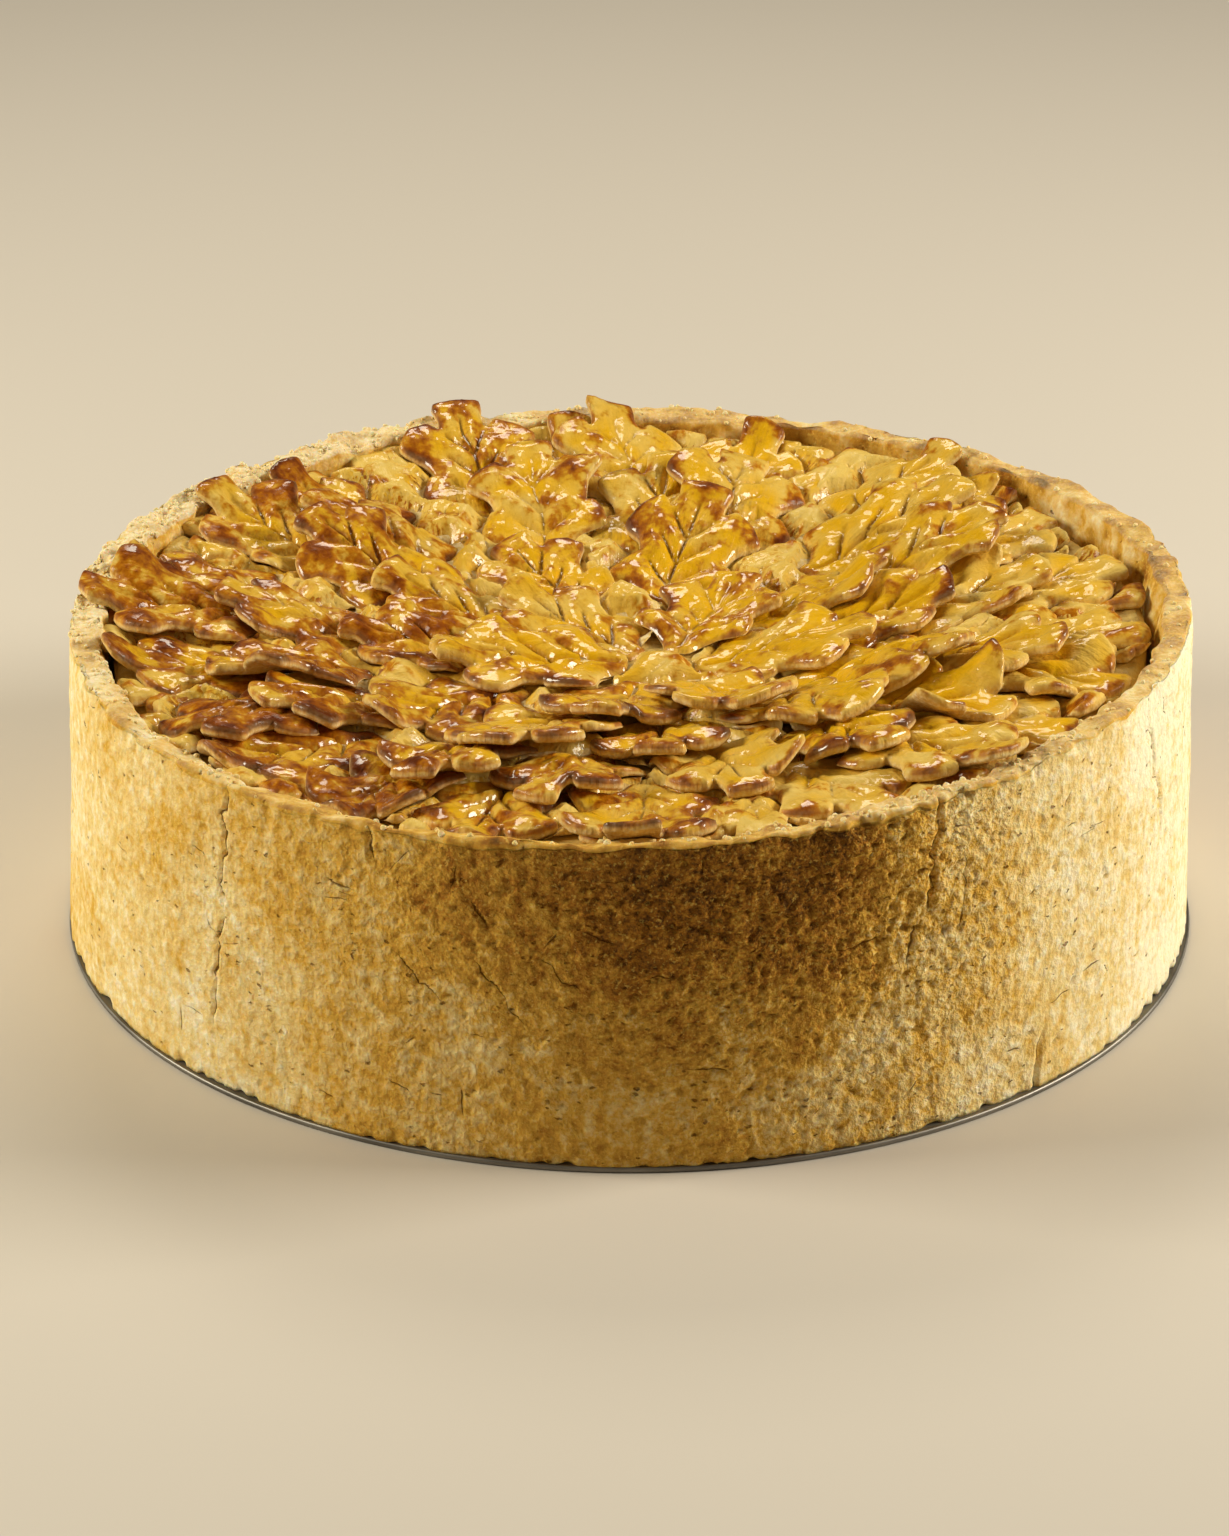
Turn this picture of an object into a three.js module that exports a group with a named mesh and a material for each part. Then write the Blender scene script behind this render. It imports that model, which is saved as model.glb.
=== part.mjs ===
// A deep round pie, uncut: a tall golden crust, a pastry lid sunk below its rim and a bed of
// overlapping pastry leaves on the lid. It stands on the loose base of its own springform tin.
// Millimetres, Z up. The origin is the centre of the underside of the tin base.
import * as THREE from "three";
import { ImprovedNoise } from "three/addons/math/ImprovedNoise.js";
import { mergeVertices } from "three/addons/utils/BufferGeometryUtils.js";

const { clamp, degToRad, euclideanModulo, lerp, seededRandom, smoothstep } = THREE.MathUtils;
const fullTurn = 2 * Math.PI;

// Driving sizes
const tin = { radius: 123, thickness: 1.2, edge: 0.4, sides: 72 };
const crust = {
  footRadius: 122.3,
  rimRadius: 119.6,
  rimHeight: 71,
  rimWall: 6,
  seatHeight: 53.5,
  seatRadius: 111.5,
  sides: 96,
  bands: 7,
};
const rimSway = [
  { waves: 1, rise: 2.2, highAt: 20 },
  { waves: 2, rise: 1.5, highAt: -23 },
];
const thickRim = { at: 145, spread: 42, extra: 2.6 };
const crags = { wavelength: 17, depth: 0.75, ragged: 9, raggedRise: 1.5 };
const cracks = [
  { at: -131.25, low: 18, high: 66, depth: 1.3 },
  { at: -52.5, low: 38, high: 80, depth: 2.2 },
  { at: -45, low: -6, high: 17, depth: 1.6 },
  { at: -26.25, low: 26, high: 80, depth: 1.6 },
];
const lid = { radius: 110.4, height: 64, dome: -7, sides: 48, waviness: 0.5, sway: 1 };
const gap = 0.3;

// A leaf in units of its own length, with its stem at the origin and its tip along X. Each lobe
// leaves the midrib at one point, at one angle, and ends in a blunt point between two corners.
const leaf = {
  length: 39,
  stemThickness: 1.5,
  thickness: 3,
  veinDepth: 0.7,
  stemHalfWidth: 0.075,
  notchDepth: 0.25,
  shoulder: 0.92,
  lobes: [
    { from: 0.22, angle: 74, reach: 0.36, halfWidth: 0.125 },
    { from: 0.44, angle: 44, reach: 0.46, halfWidth: 0.135 },
    { from: 0.62, angle: 0, reach: 0.38, halfWidth: 0.145 },
  ],
};

// The bed of leaves, laid from the rim inwards, with every stem towards the heart of the rosette.
// Each ring is laid in two rounds, and the second round at the rim may lie over it.
const bed = {
  seed: 41,
  rings: [
    { count: 23, stem: 76, turn: 7.7, heart: [-1, 1] },
    { count: 17, stem: 54, turn: 6, heart: [0, -1] },
    { count: 11, stem: 31, turn: 14, heart: [3, -5] },
    { count: 6, stem: 9, turn: 3, heart: [6, -8] },
  ],
  reach: 112.2,
  overReach: 118,
  turnSpread: 5,
  stemSpread: 3.5,
  headingSpread: 16,
  lengthSpread: 0.1,
  cupSpread: 0.8,
  curl: 0.3,
  curlSpread: 0.9,
  steps: 200,
  lifts: 60,
  sink: 0.2,
  stiffness: 0.3,
};

const colours = {
  steel: { color: "#8d8a88", roughness: 0.35, metalness: 1 },
  bakedCrust: { color: "#c99a4a", roughness: 0.85, metalness: 0 },
  paleLid: { color: "#d9bb76", roughness: 0.7, metalness: 0 },
  glazedLeaf: { color: "#c98a2b", roughness: 0.3, metalness: 0 },
};

const noise = new ImprovedNoise();

function roughness(point, wavelength) {
  return noise.noise(point.x / wavelength + 0.37, point.y / wavelength + 0.61, point.z / wavelength);
}

function angleBetween(a, b) {
  return euclideanModulo(a - b + Math.PI, fullTurn) - Math.PI;
}

// A solid of revolution about Z from radius and height pairs that begin and end on the axis
function turned(profile, sides) {
  const points = profile.map(([radius, height]) => new THREE.Vector2(radius, height));
  const geometry = new THREE.LatheGeometry(points, sides).rotateX(Math.PI / 2);
  geometry.deleteAttribute("uv");
  geometry.deleteAttribute("normal");
  return geometry;
}

function moveEachPoint(geometry, move) {
  const points = geometry.getAttribute("position");
  const point = new THREE.Vector3();
  for (let i = 0; i < points.count; i++) {
    point.fromBufferAttribute(points, i);
    move(point);
    points.setXYZ(i, point.x, point.y, point.z);
  }
  return mergeVertices(geometry, 1e-3);
}

function tinBase() {
  const { radius, thickness, edge, sides } = tin;
  return turned([
    [0, 0],
    [radius - edge, 0],
    [radius, edge],
    [radius, thickness - edge],
    [radius - edge, thickness],
    [0, thickness],
  ], sides);
}

function crustProfile() {
  const { footRadius, rimRadius, rimHeight, rimWall, seatHeight, seatRadius, bands } = crust;
  const foot = tin.thickness;
  const shoulder = rimHeight - 2.5;
  const profile = [[0, foot], [footRadius - 1.6, foot]];
  for (let band = 0; band <= bands; band++) {
    const up = band / bands;
    profile.push([lerp(footRadius, rimRadius, up), lerp(foot + 1.6, shoulder, up)]);
  }
  const innerRadius = rimRadius - rimWall;
  profile.push([rimRadius - 1.2, rimHeight - 0.4]);
  profile.push([rimRadius - 0.55 * rimWall, rimHeight]);
  profile.push([innerRadius, rimHeight - 1.4]);
  profile.push([lerp(innerRadius, seatRadius, 0.4), lerp(rimHeight, seatHeight, 0.45)]);
  profile.push([seatRadius, seatHeight], [0, seatHeight]);
  return profile;
}

// How far the rim stands above its mean height, by the slow sway of a hand-raised wall. The edge
// of the lid follows it.
function rimRise(angle) {
  let rise = 0;
  for (const sway of rimSway) {
    rise += sway.rise * Math.cos(sway.waves * (angle - degToRad(sway.highAt)));
  }
  return rise;
}

// The columns next to a crack are drawn in to its lips, and its own column is sunk
function pinchCracks(angle, height) {
  const column = fullTurn / crust.sides;
  for (const crack of cracks) {
    const offset = angleBetween(angle, degToRad(crack.at));
    if (Math.abs(offset) > 1.5 * column) continue;
    const opens = smoothstep(height, crack.low, crack.low + 8);
    const closes = smoothstep(height, crack.high - 8, crack.high);
    const sunk = Math.abs(offset) < 0.5 * column ? crack.depth * opens * (1 - closes) : 0;
    return { angle: degToRad(crack.at) + 0.18 * offset, sunk };
  }
  return { angle, sunk: 0 };
}

function bakeCrust(point) {
  const radius = Math.hypot(point.x, point.y);
  if (radius <= crust.seatRadius + 0.1) return;
  const { angle, sunk } = pinchCracks(Math.atan2(point.y, point.x), point.z);
  const up = smoothstep(point.z, tin.thickness, crust.rimHeight);
  const atRim = smoothstep(point.z, 0.7 * crust.rimHeight, crust.rimHeight);
  const inner = crust.rimRadius - radius > 0.7 * crust.rimWall ? 1 : 0;
  const nearThick = angleBetween(angle, degToRad(thickRim.at)) / degToRad(thickRim.spread);
  const thicker = thickRim.extra * Math.exp(-nearThick * nearThick);
  const bulge = crags.depth * roughness(point, crags.wavelength) * (1 - inner);
  const rise = rimRise(angle) * up + crags.raggedRise * roughness(point, crags.ragged) * atRim;
  const newRadius = radius - sunk * (1 - inner) + bulge - thicker * inner * atRim;
  const height = point.z + (point.z > tin.thickness + 0.1 ? rise : 0);
  point.set(newRadius * Math.cos(angle), newRadius * Math.sin(angle), height);
}

function crustSolid() {
  return moveEachPoint(turned(crustProfile(), crust.sides), bakeCrust);
}

function lidSolid() {
  const under = crust.seatHeight + gap;
  const { radius, height, dome, sides, waviness, sway } = lid;
  const geometry = turned([
    [0, under],
    [radius, under],
    [radius, height - 1.5],
    [radius - 1.8, height],
    [0.66 * radius, height + 0.6 * dome],
    [0.33 * radius, height + dome],
    [0, height + dome],
  ], sides);
  return moveEachPoint(geometry, (point) => {
    if (point.z < under + 0.1) return;
    const outwards = Math.hypot(point.x, point.y) / radius;
    const rise = sway * rimRise(Math.atan2(point.y, point.x)) * outwards * outwards;
    point.z += rise + waviness * roughness(point, 23);
  });
}

// Outline points of a leaf, anticlockwise, each edge with the midrib point that it belongs to
function leafOutline() {
  const { lobes, shoulder, notchDepth, stemHalfWidth } = leaf;
  const ribs = lobes.map((lobe) => new THREE.Vector2(lobe.from, 0));
  const side = [{ point: new THREE.Vector2(0, stemHalfWidth), rib: 0 }];
  lobes.forEach((lobe, index) => {
    const along = new THREE.Vector2(1, 0).rotateAround(new THREE.Vector2(), degToRad(lobe.angle));
    const across = new THREE.Vector2(-along.y, along.x).multiplyScalar(lobe.halfWidth);
    const middle = ribs[index].clone().addScaledVector(along, shoulder * lobe.reach);
    const rear = middle.clone().add(across);
    const before = side[side.length - 1];
    for (const [share, rib] of [[0.3, before.rib], [0.7, index]]) {
      const notch = before.point.clone().lerp(rear, share).lerp(ribs[rib], notchDepth);
      side.push({ point: notch, rib });
    }
    side.push({ point: rear, rib: index });
    side.push({ point: ribs[index].clone().addScaledVector(along, lobe.reach), rib: index });
    if (lobe.angle > 0) side.push({ point: middle.clone().sub(across), rib: index });
  });
  const mirror = ({ point, rib }) => ({ point: new THREE.Vector2(point.x, -point.y), rib });
  const outline = [...side.slice(0, -1).map(mirror), ...side.reverse()];
  return { ribs, points: outline.map(({ point }) => point), ribOf: outline.map(({ rib }) => rib) };
}

// Triangles of one face: every edge of the outline with its midrib point, and a filler in each
// notch, where the outline passes on to the next midrib point
function leafFace({ points, ribOf }) {
  const triangles = [];
  const count = points.length;
  for (let i = 0; i < count; i++) {
    const next = (i + 1) % count;
    const rib = Math.min(ribOf[i], ribOf[next]);
    triangles.push([i, next, count + rib]);
    const before = Math.min(ribOf[i], ribOf[euclideanModulo(i - 1, count)]);
    if (before !== rib) triangles.push([i, count + rib, count + before]);
  }
  return triangles;
}

const outline = leafOutline();
const face = leafFace(outline);
const form = [...outline.points, ...outline.ribs];
const curves = simpleCurves(form);

// Heights of everything laid so far, seen from above on a square grid
class HeightMap {
  constructor(reach, cell) {
    this.cell = cell;
    this.reach = reach;
    this.across = Math.ceil(2 * reach / cell) + 1;
    this.heights = new Float64Array(this.across * this.across);
  }

  index(x) {
    return clamp(Math.round((x + this.reach) / this.cell), 0, this.across - 1);
  }

  // Highest point within a cell and a half, so that edges between grid lines are not missed
  at(x, y) {
    const column = this.index(x);
    const row = this.index(y);
    let highest = 0;
    for (let j = Math.max(row - 1, 0); j <= Math.min(row + 1, this.across - 1); j++) {
      for (let i = Math.max(column - 1, 0); i <= Math.min(column + 1, this.across - 1); i++) {
        highest = Math.max(highest, this.heights[j * this.across + i]);
      }
    }
    return highest;
  }

  addTriangle(a, b, c) {
    const area = (b.x - a.x) * (c.y - a.y) - (c.x - a.x) * (b.y - a.y);
    if (area < 1e-6) return;
    const left = this.index(Math.min(a.x, b.x, c.x));
    const right = this.index(Math.max(a.x, b.x, c.x));
    const top = this.index(Math.max(a.y, b.y, c.y));
    for (let row = this.index(Math.min(a.y, b.y, c.y)); row <= top; row++) {
      for (let column = left; column <= right; column++) {
        const x = column * this.cell - this.reach;
        const y = row * this.cell - this.reach;
        const u = ((b.x - x) * (c.y - y) - (c.x - x) * (b.y - y)) / area;
        const v = ((c.x - x) * (a.y - y) - (a.x - x) * (c.y - y)) / area;
        if (u < -1e-9 || v < -1e-9 || u + v > 1 + 1e-9) continue;
        const cell = row * this.across + column;
        this.heights[cell] = Math.max(this.heights[cell], u * a.z + v * b.z + (1 - u - v) * c.z);
      }
    }
  }

  add(geometry) {
    const points = geometry.getAttribute("position");
    const corner = (i) => new THREE.Vector3().fromBufferAttribute(points, geometry.index.getX(i));
    for (let i = 0; i < geometry.index.count; i += 3) {
      this.addTriangle(corner(i), corner(i + 1), corner(i + 2));
    }
  }
}

function layOut() {
  const draw = (spread) => spread * (2 * seededRandom() - 1);
  const places = [];
  seededRandom(bed.seed);
  for (const ring of bed.rings) {
    const half = Math.ceil(ring.count / 2);
    for (let i = 0; i < ring.count; i++) {
      const place = Math.floor(i / half) + 2 * (i % half);
      const angle = degToRad(ring.turn + 360 * place / ring.count + draw(bed.turnSpread));
      const length = leaf.length * (1 + draw(bed.lengthSpread));
      const reach = i < half ? bed.reach : bed.overReach;
      const stem = Math.min(ring.stem + draw(bed.stemSpread), reach - length);
      places.push({
        x: ring.heart[0] + stem * Math.cos(angle),
        y: ring.heart[1] + stem * Math.sin(angle),
        heading: angle + degToRad(draw(bed.headingSpread)),
        length,
        cup: draw(bed.cupSpread),
        curl: bed.curl + draw(bed.curlSpread),
      });
    }
  }
  return places;
}

// Points spread over one triangle as weights of its three corners
function spreadOver(a, b, c, spacing) {
  const steps = Math.ceil(Math.max(a.distanceTo(b), b.distanceTo(c), c.distanceTo(a)) / spacing);
  const weights = [];
  for (let i = 0; i <= steps; i++) {
    for (let j = 0; j <= steps - i; j++) {
      weights.push([i / steps, j / steps, (steps - i - j) / steps]);
    }
  }
  return weights;
}

function dot(a, b) {
  return a.reduce((sum, value, i) => sum + value * b[i], 0);
}

function blend(points, weights) {
  const sum = new THREE.Vector2();
  points.forEach((point, k) => sum.addScaledVector(point, weights[k]));
  return sum;
}

// Simple curves over a leaf's length and width, level, sloping or bent, each at right angles to
// the others over the leaf's corners
function simpleCurves(form) {
  const raw = [
    () => 1,
    ({ x }) => x,
    ({ y }) => y,
    ({ x }) => x * x,
    ({ x, y }) => x * y,
    ({ y }) => y * y,
  ];
  const curves = [];
  for (const height of raw) {
    let curve = form.map(height);
    for (const other of curves) {
      const share = dot(curve, other);
      curve = curve.map((value, i) => value - share * other[i]);
    }
    const size = Math.sqrt(dot(curve, curve));
    curves.push(curve.map((value) => value / size));
  }
  return curves;
}

// Underside heights of a leaf laid on the map: it sinks step by step under its own weight, springs
// back towards a simple curve, and is lifted wherever it would go into what lies below.
function settle(flat, place, map) {
  const touches = [];
  for (const corners of face) {
    const spots = corners.map((corner) => flat[corner]);
    for (const weights of spreadOver(...spots, 1.4)) {
      const spot = blend(spots, weights);
      const floor = map.at(spot.x, spot.y) + gap;
      touches.push({ corners, weights, floor, share: dot(weights, weights) });
    }
  }
  const own = form.map(({ x, y }) => place.curl * x * x + place.cup * 4 * y * y);
  const heights = form.map(() => Math.max(...touches.map(({ floor }) => floor)));
  for (let step = 0; step < bed.steps + bed.lifts; step++) {
    if (step < bed.steps) {
      const bare = heights.map((height, i) => height - bed.sink - own[i]);
      const shares = curves.map((curve) => dot(curve, bare));
      bare.forEach((height, i) => {
        const smooth = curves.reduce((sum, curve, k) => sum + shares[k] * curve[i], 0);
        heights[i] = own[i] + lerp(height, smooth, bed.stiffness);
      });
    }
    for (const { corners, weights, floor, share } of touches) {
      const [a, b, c] = corners;
      const height = weights[0] * heights[a] + weights[1] * heights[b] + weights[2] * heights[c];
      const lift = Math.max(floor - height, 0) / share;
      corners.forEach((corner, k) => { heights[corner] += lift * weights[k]; });
    }
  }
  return heights;
}

// Pressed thin at the stem, where the next leaves lie on it, and along the midrib
function thickness(point) {
  const full = lerp(leaf.stemThickness, leaf.thickness, smoothstep(point.x, 0.05, 0.55));
  return point.y === 0 && point.x < 0.9 ? full - leaf.veinDepth : full;
}

function leafSolid(place, map) {
  const stem = new THREE.Vector2(place.x, place.y);
  const flat = form.map((point) => {
    const turnedPoint = point.clone().rotateAround(new THREE.Vector2(), place.heading);
    return turnedPoint.multiplyScalar(place.length).add(stem);
  });
  const under = settle(flat, place, map);
  const count = outline.points.length;
  const corners = flat.length;
  const positions = [];
  flat.forEach(({ x, y }, i) => positions.push(x, y, under[i] + thickness(form[i])));
  flat.forEach(({ x, y }, i) => positions.push(x, y, under[i]));
  const indices = [];
  for (const [a, b, c] of face) {
    indices.push(a, b, c);
    indices.push(corners + a, corners + c, corners + b);
  }
  for (let i = 0; i < count; i++) {
    const next = (i + 1) % count;
    indices.push(i, corners + i, next);
    indices.push(next, corners + i, corners + next);
  }
  const geometry = new THREE.BufferGeometry();
  geometry.setAttribute("position", new THREE.Float32BufferAttribute(positions, 3));
  geometry.setIndex(indices);
  return geometry;
}

function piece(name, geometry, colour) {
  const mesh = new THREE.Mesh(geometry, new THREE.MeshStandardMaterial(colour));
  mesh.name = name;
  return mesh;
}

function pie() {
  const group = new THREE.Group();
  const crustGeometry = crustSolid();
  const lidGeometry = lidSolid();
  group.add(piece("tin_base", tinBase(), colours.steel));
  group.add(piece("crust", crustGeometry, colours.bakedCrust));
  group.add(piece("lid", lidGeometry, colours.paleLid));
  const map = new HeightMap(tin.radius + 12, 1);
  map.add(crustGeometry);
  map.add(lidGeometry);
  layOut().forEach((place, i) => {
    const geometry = leafSolid(place, map);
    map.add(geometry);
    group.add(piece(`leaf_${String(i + 1).padStart(2, "0")}`, geometry, colours.glazedLeaf));
  });
  return group;
}

export default pie();
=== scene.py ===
# deep round pie with a bed of pastry leaves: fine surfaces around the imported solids
import math

import bpy
import numpy as np
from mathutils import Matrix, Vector
from mathutils.geometry import delaunay_2d_cdt


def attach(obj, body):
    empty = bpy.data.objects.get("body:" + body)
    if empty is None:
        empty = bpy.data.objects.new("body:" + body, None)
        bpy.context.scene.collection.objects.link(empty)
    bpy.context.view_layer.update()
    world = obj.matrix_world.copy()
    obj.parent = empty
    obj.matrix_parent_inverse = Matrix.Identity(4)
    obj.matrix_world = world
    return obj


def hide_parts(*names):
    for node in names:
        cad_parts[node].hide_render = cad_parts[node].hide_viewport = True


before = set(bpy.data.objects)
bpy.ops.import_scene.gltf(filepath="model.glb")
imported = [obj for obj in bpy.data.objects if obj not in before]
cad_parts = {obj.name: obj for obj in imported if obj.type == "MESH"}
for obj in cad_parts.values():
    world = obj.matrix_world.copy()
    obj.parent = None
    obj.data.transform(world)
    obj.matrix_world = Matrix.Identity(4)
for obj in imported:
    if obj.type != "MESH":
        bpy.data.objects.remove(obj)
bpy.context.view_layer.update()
scene = bpy.context.scene
mm = 0.001
farAway = 1e9  # further than anything in the pie
print("frame loaded:", len(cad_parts), "nodes")


# numbers and fields

def smoothStep(x, low, high):
    t = np.clip((x - low) / (high - low), 0, 1)
    return t * t * (3 - 2 * t)


def bell(x, width):  # 1 at nought, fading to both sides
    return np.exp(-(x / width) ** 2)


def angleFrom(angles, degrees):  # signed difference in degrees
    return (np.degrees(angles) - degrees + 180) % 360 - 180


def around(angles, degrees, spread):  # 1 at an angle, fading to both sides
    return bell(angleFrom(angles, degrees), spread)


def direction(degrees, sign=1):  # in the plane, from the x axis
    return np.array([math.cos(math.radians(degrees)), sign * math.sin(math.radians(degrees))])


def softNoise(points, wavelength, seed):  # gradient noise in space, about -1 to 1, with a seed for each field
    scaled = np.asarray(points, float) / wavelength + 0.37
    cell = np.floor(scaled).astype(np.int64)
    part = scaled - cell
    ease = part ** 3 * (part * (part * 6 - 15) + 10)
    total = np.zeros(len(scaled))
    for corner in np.ndindex(2, 2, 2):  # a slope for each corner of a cell, by a hash of its place
        lattice = cell + corner
        weight = np.prod(np.where(np.array(corner) == 1, ease, 1 - ease), axis=1)
        mixed = lattice @ np.array([73856093, 19349663, 83492791]) + seed * 961748941
        for axis in range(3):
            mixed = (mixed ^ (mixed >> 15)) * 2246822519 & 0xffffffff
            mixed = (mixed ^ (mixed >> 13)) * 3266489917 & 0xffffffff
            slope = (mixed ^ (mixed >> 16)) / 0x7fffffff - 1
            total += weight * slope * (part[:, axis] - corner[axis])
    return total * 1.7


def turnOf(a, b, c):  # above nought where c lies to the left of the way from a to b
    return (b[:, 0] - a[:, 0]) * (c[:, 1] - a[:, 1]) - (b[:, 1] - a[:, 1]) * (c[:, 0] - a[:, 0])


def distanceTo(points, starts, ends):  # to the nearest of some segments, the share along it and its number
    best, along = np.full(len(points), farAway), np.zeros(len(points))
    which = np.zeros(len(points), int)
    for number, (a, b) in enumerate(zip(starts, ends)):
        share = np.clip((points - a) @ (b - a) / max((b - a) @ (b - a), 1e-12), 0, 1)
        away = np.linalg.norm(points - a - share[:, None] * (b - a), axis=1)
        closer = away < best
        best, along = np.where(closer, away, best), np.where(closer, share, along)
        which[closer] = number
    return best, along, which


# shader nodes

def linearColour(hexText):  # sRGB hex to linear RGBA
    parts = [int(hexText[i:i + 2], 16) / 255 for i in (1, 3, 5)]
    linear = [c / 12.92 if c <= 0.04045 else ((c + 0.055) / 1.055) ** 2.4 for c in parts]
    return (*linear, 1.0)


def setInputs(tree, node, values):  # links the sockets among the values, and sets the others
    for key, value in values.items():
        if isinstance(value, bpy.types.NodeSocket):
            tree.links.new(value, node.inputs[key])
        else:
            node.inputs[key].default_value = value


def addNode(tree, kind, inputs=None, **settings):
    node = tree.nodes.new(kind)
    for name, value in settings.items():
        setattr(node, name, value)
    setInputs(tree, node, inputs or {})
    return node


def newMaterial(name):
    material = bpy.data.materials.new(name)
    material.use_nodes = True
    tree = material.node_tree
    tree.nodes.clear()
    shader = addNode(tree, "ShaderNodeBsdfPrincipled")
    addNode(tree, "ShaderNodeOutputMaterial", {"Surface": shader.outputs[0]})
    return material, tree, shader


def noise(tree, vector, size, output=0, **inputs):  # features of a size in millimetres
    inputs |= {"Vector": vector, "Scale": 1 / (size * mm)}
    return addNode(tree, "ShaderNodeTexNoise", inputs).outputs[output]


def cells(tree, vector, size):  # the same, in cells
    return addNode(tree, "ShaderNodeTexVoronoi", {"Vector": vector, "Scale": 1 / (size * mm)}).outputs


def stretched(tree, vector, scale):
    return addNode(tree, "ShaderNodeMapping", {"Vector": vector, "Scale": scale}).outputs[0]


def readAttributes(tree, *names):
    return [addNode(tree, "ShaderNodeAttribute", attribute_name=name).outputs["Fac"] for name in names]


def combine(tree, operation, *values):
    return addNode(tree, "ShaderNodeMath", dict(enumerate(values)), operation=operation).outputs[0]


def plusShares(tree, base, *shares):  # a value with a share of some others added to it
    for value, share in shares:
        base = combine(tree, "MULTIPLY_ADD", value, share, base)
    return base


def remap(tree, value, given, wanted=(0.0, 1.0), **settings):  # from one range to another, held at both ends
    inputs = dict(enumerate((value, *given, *wanted)))
    return addNode(tree, "ShaderNodeMapRange", inputs, **settings).outputs[0]


def ramp(tree, value, *stops):
    node = addNode(tree, "ShaderNodeValToRGB", {0: value})
    elements = node.color_ramp.elements
    while len(elements) < len(stops):
        elements.new(0.5)
    for element, (position, hexText) in zip(elements, stops):
        element.position = position
        element.color = linearColour(hexText)
    return node.outputs[0]


def blend(tree, share, first, second):  # two colours, each a socket or a hex text
    a, b = (linearColour(side) if isinstance(side, str) else side for side in (first, second))
    return addNode(tree, "ShaderNodeMix", {0: share, 6: a, 7: b}, data_type="RGBA").outputs[2]


def bump(tree, height, strength, depth):  # depth in millimetres
    inputs = {"Height": height, "Strength": strength, "Distance": depth * mm}
    return addNode(tree, "ShaderNodeBump", inputs).outputs[0]


# pieces

def addObject(name, data):
    added = bpy.data.objects.new(name, data)
    scene.collection.objects.link(added)
    return added


def makePiece(name, points, faces, material, attributes=None, plan=None):  # points in millimetres
    mesh = bpy.data.meshes.new(name)
    mesh.vertices.add(len(points))
    mesh.vertices.foreach_set("co", (points * mm).astype(np.float32).ravel())
    mesh.loops.add(faces.size)
    mesh.loops.foreach_set("vertex_index", faces.astype(np.int32).ravel())
    mesh.polygons.add(len(faces))
    mesh.polygons.foreach_set("loop_start", np.arange(0, faces.size, 3, dtype=np.int32))
    mesh.update(calc_edges=True)
    mesh.shade_smooth()
    for key, values in (attributes or {}).items():
        layer = mesh.attributes.new(key, "FLOAT", "POINT")
        layer.data.foreach_set("value", np.asarray(values, np.float32))
    if plan is not None:
        uv = mesh.uv_layers.new(name="plan")
        uv.data.foreach_set("uv", plan[faces.ravel()].astype(np.float32).ravel())
    mesh.materials.append(material)
    return addObject(name, mesh)


def settlePiece(piece, slot, *nodes):  # every piece of the pie rides on its one body
    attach(piece, "root")
    if nodes:
        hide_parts(*nodes)


def gridFaces(rows, columns):  # triangles of a grid that closes on itself along its columns
    row, column = np.meshgrid(np.arange(rows - 1), np.arange(columns), indexing="ij")
    after = (column + 1) % columns
    a, b = row * columns + column, row * columns + after
    c, d = a + columns, b + columns
    return np.concatenate([np.stack([a, b, d], -1), np.stack([a, d, c], -1)]).reshape(-1, 3)


def fanFaces(ring, apex, up):  # triangles from a closed ring of points to one point
    after = np.roll(ring, -1)
    centre = np.full(len(ring), apex)
    return np.stack([ring, after, centre] if up else [after, ring, centre], -1)


def roundPoints(radius, angles, height):
    return np.stack([radius * np.cos(angles), radius * np.sin(angles), height], -1)


def closeDisc(rows, top, bottom):  # rings of points from the bottom up, closed by a point at each end
    count = len(rows[0])
    points = np.concatenate([*rows, [[0, 0, top], [0, 0, bottom]]])
    last = len(points) - 2 - count
    faces = np.concatenate([
        gridFaces(len(rows), count),
        fanFaces(np.arange(last, last + count), len(points) - 2, True),
        fanFaces(np.arange(count), len(points) - 1, False),
    ])
    return points, faces


# camera, floor and lights

cameraPlace = {
    "lens": 100, "sensor": 36, "clipStart": 0.01,
    "elevation": 24.7, "distance": 931.3, "target": (-3.29, 0, 30.54),  # degrees and millimetres
}


def makeCamera():
    tilt = math.radians(cameraPlace["elevation"])
    data = bpy.data.cameras.new("camera")
    data.lens = cameraPlace["lens"]
    data.sensor_width = cameraPlace["sensor"]
    data.clip_start = cameraPlace["clipStart"]
    camera = addObject("camera", data)
    away = Vector((0, -math.cos(tilt), math.sin(tilt))) * cameraPlace["distance"]
    camera.location = (Vector(cameraPlace["target"]) + away) * mm
    camera.rotation_euler = (math.pi / 2 - tilt, 0, 0)
    scene.camera = camera


studio = {
    "floorColour": "#d3cbc0", "floorRoughness": 0.8, "floorReach": 4.0,  # reach in metres
    "worldColour": "#fff1dc", "worldStrength": 0.04,
    "aimHeight": 0.05,
    "softboxes": [  # name, from (azimuth, elevation, distance m), size m, watts, colour
        ("leftSoftbox", (-177, 28, 1.1), 0.42, 10.7, "#fff8e2"),
        ("rightSoftbox", (2, 28, 1.1), 0.42, 12.3, "#fff8e6"),
        ("backSoftbox", (95, 48, 1.2), 0.4, 3.9, "#fff6e2"),
        ("frontFill", (-80, 35, 1.5), 0.9, 1.0, "#ffe6c0"),
    ],
}


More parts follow.
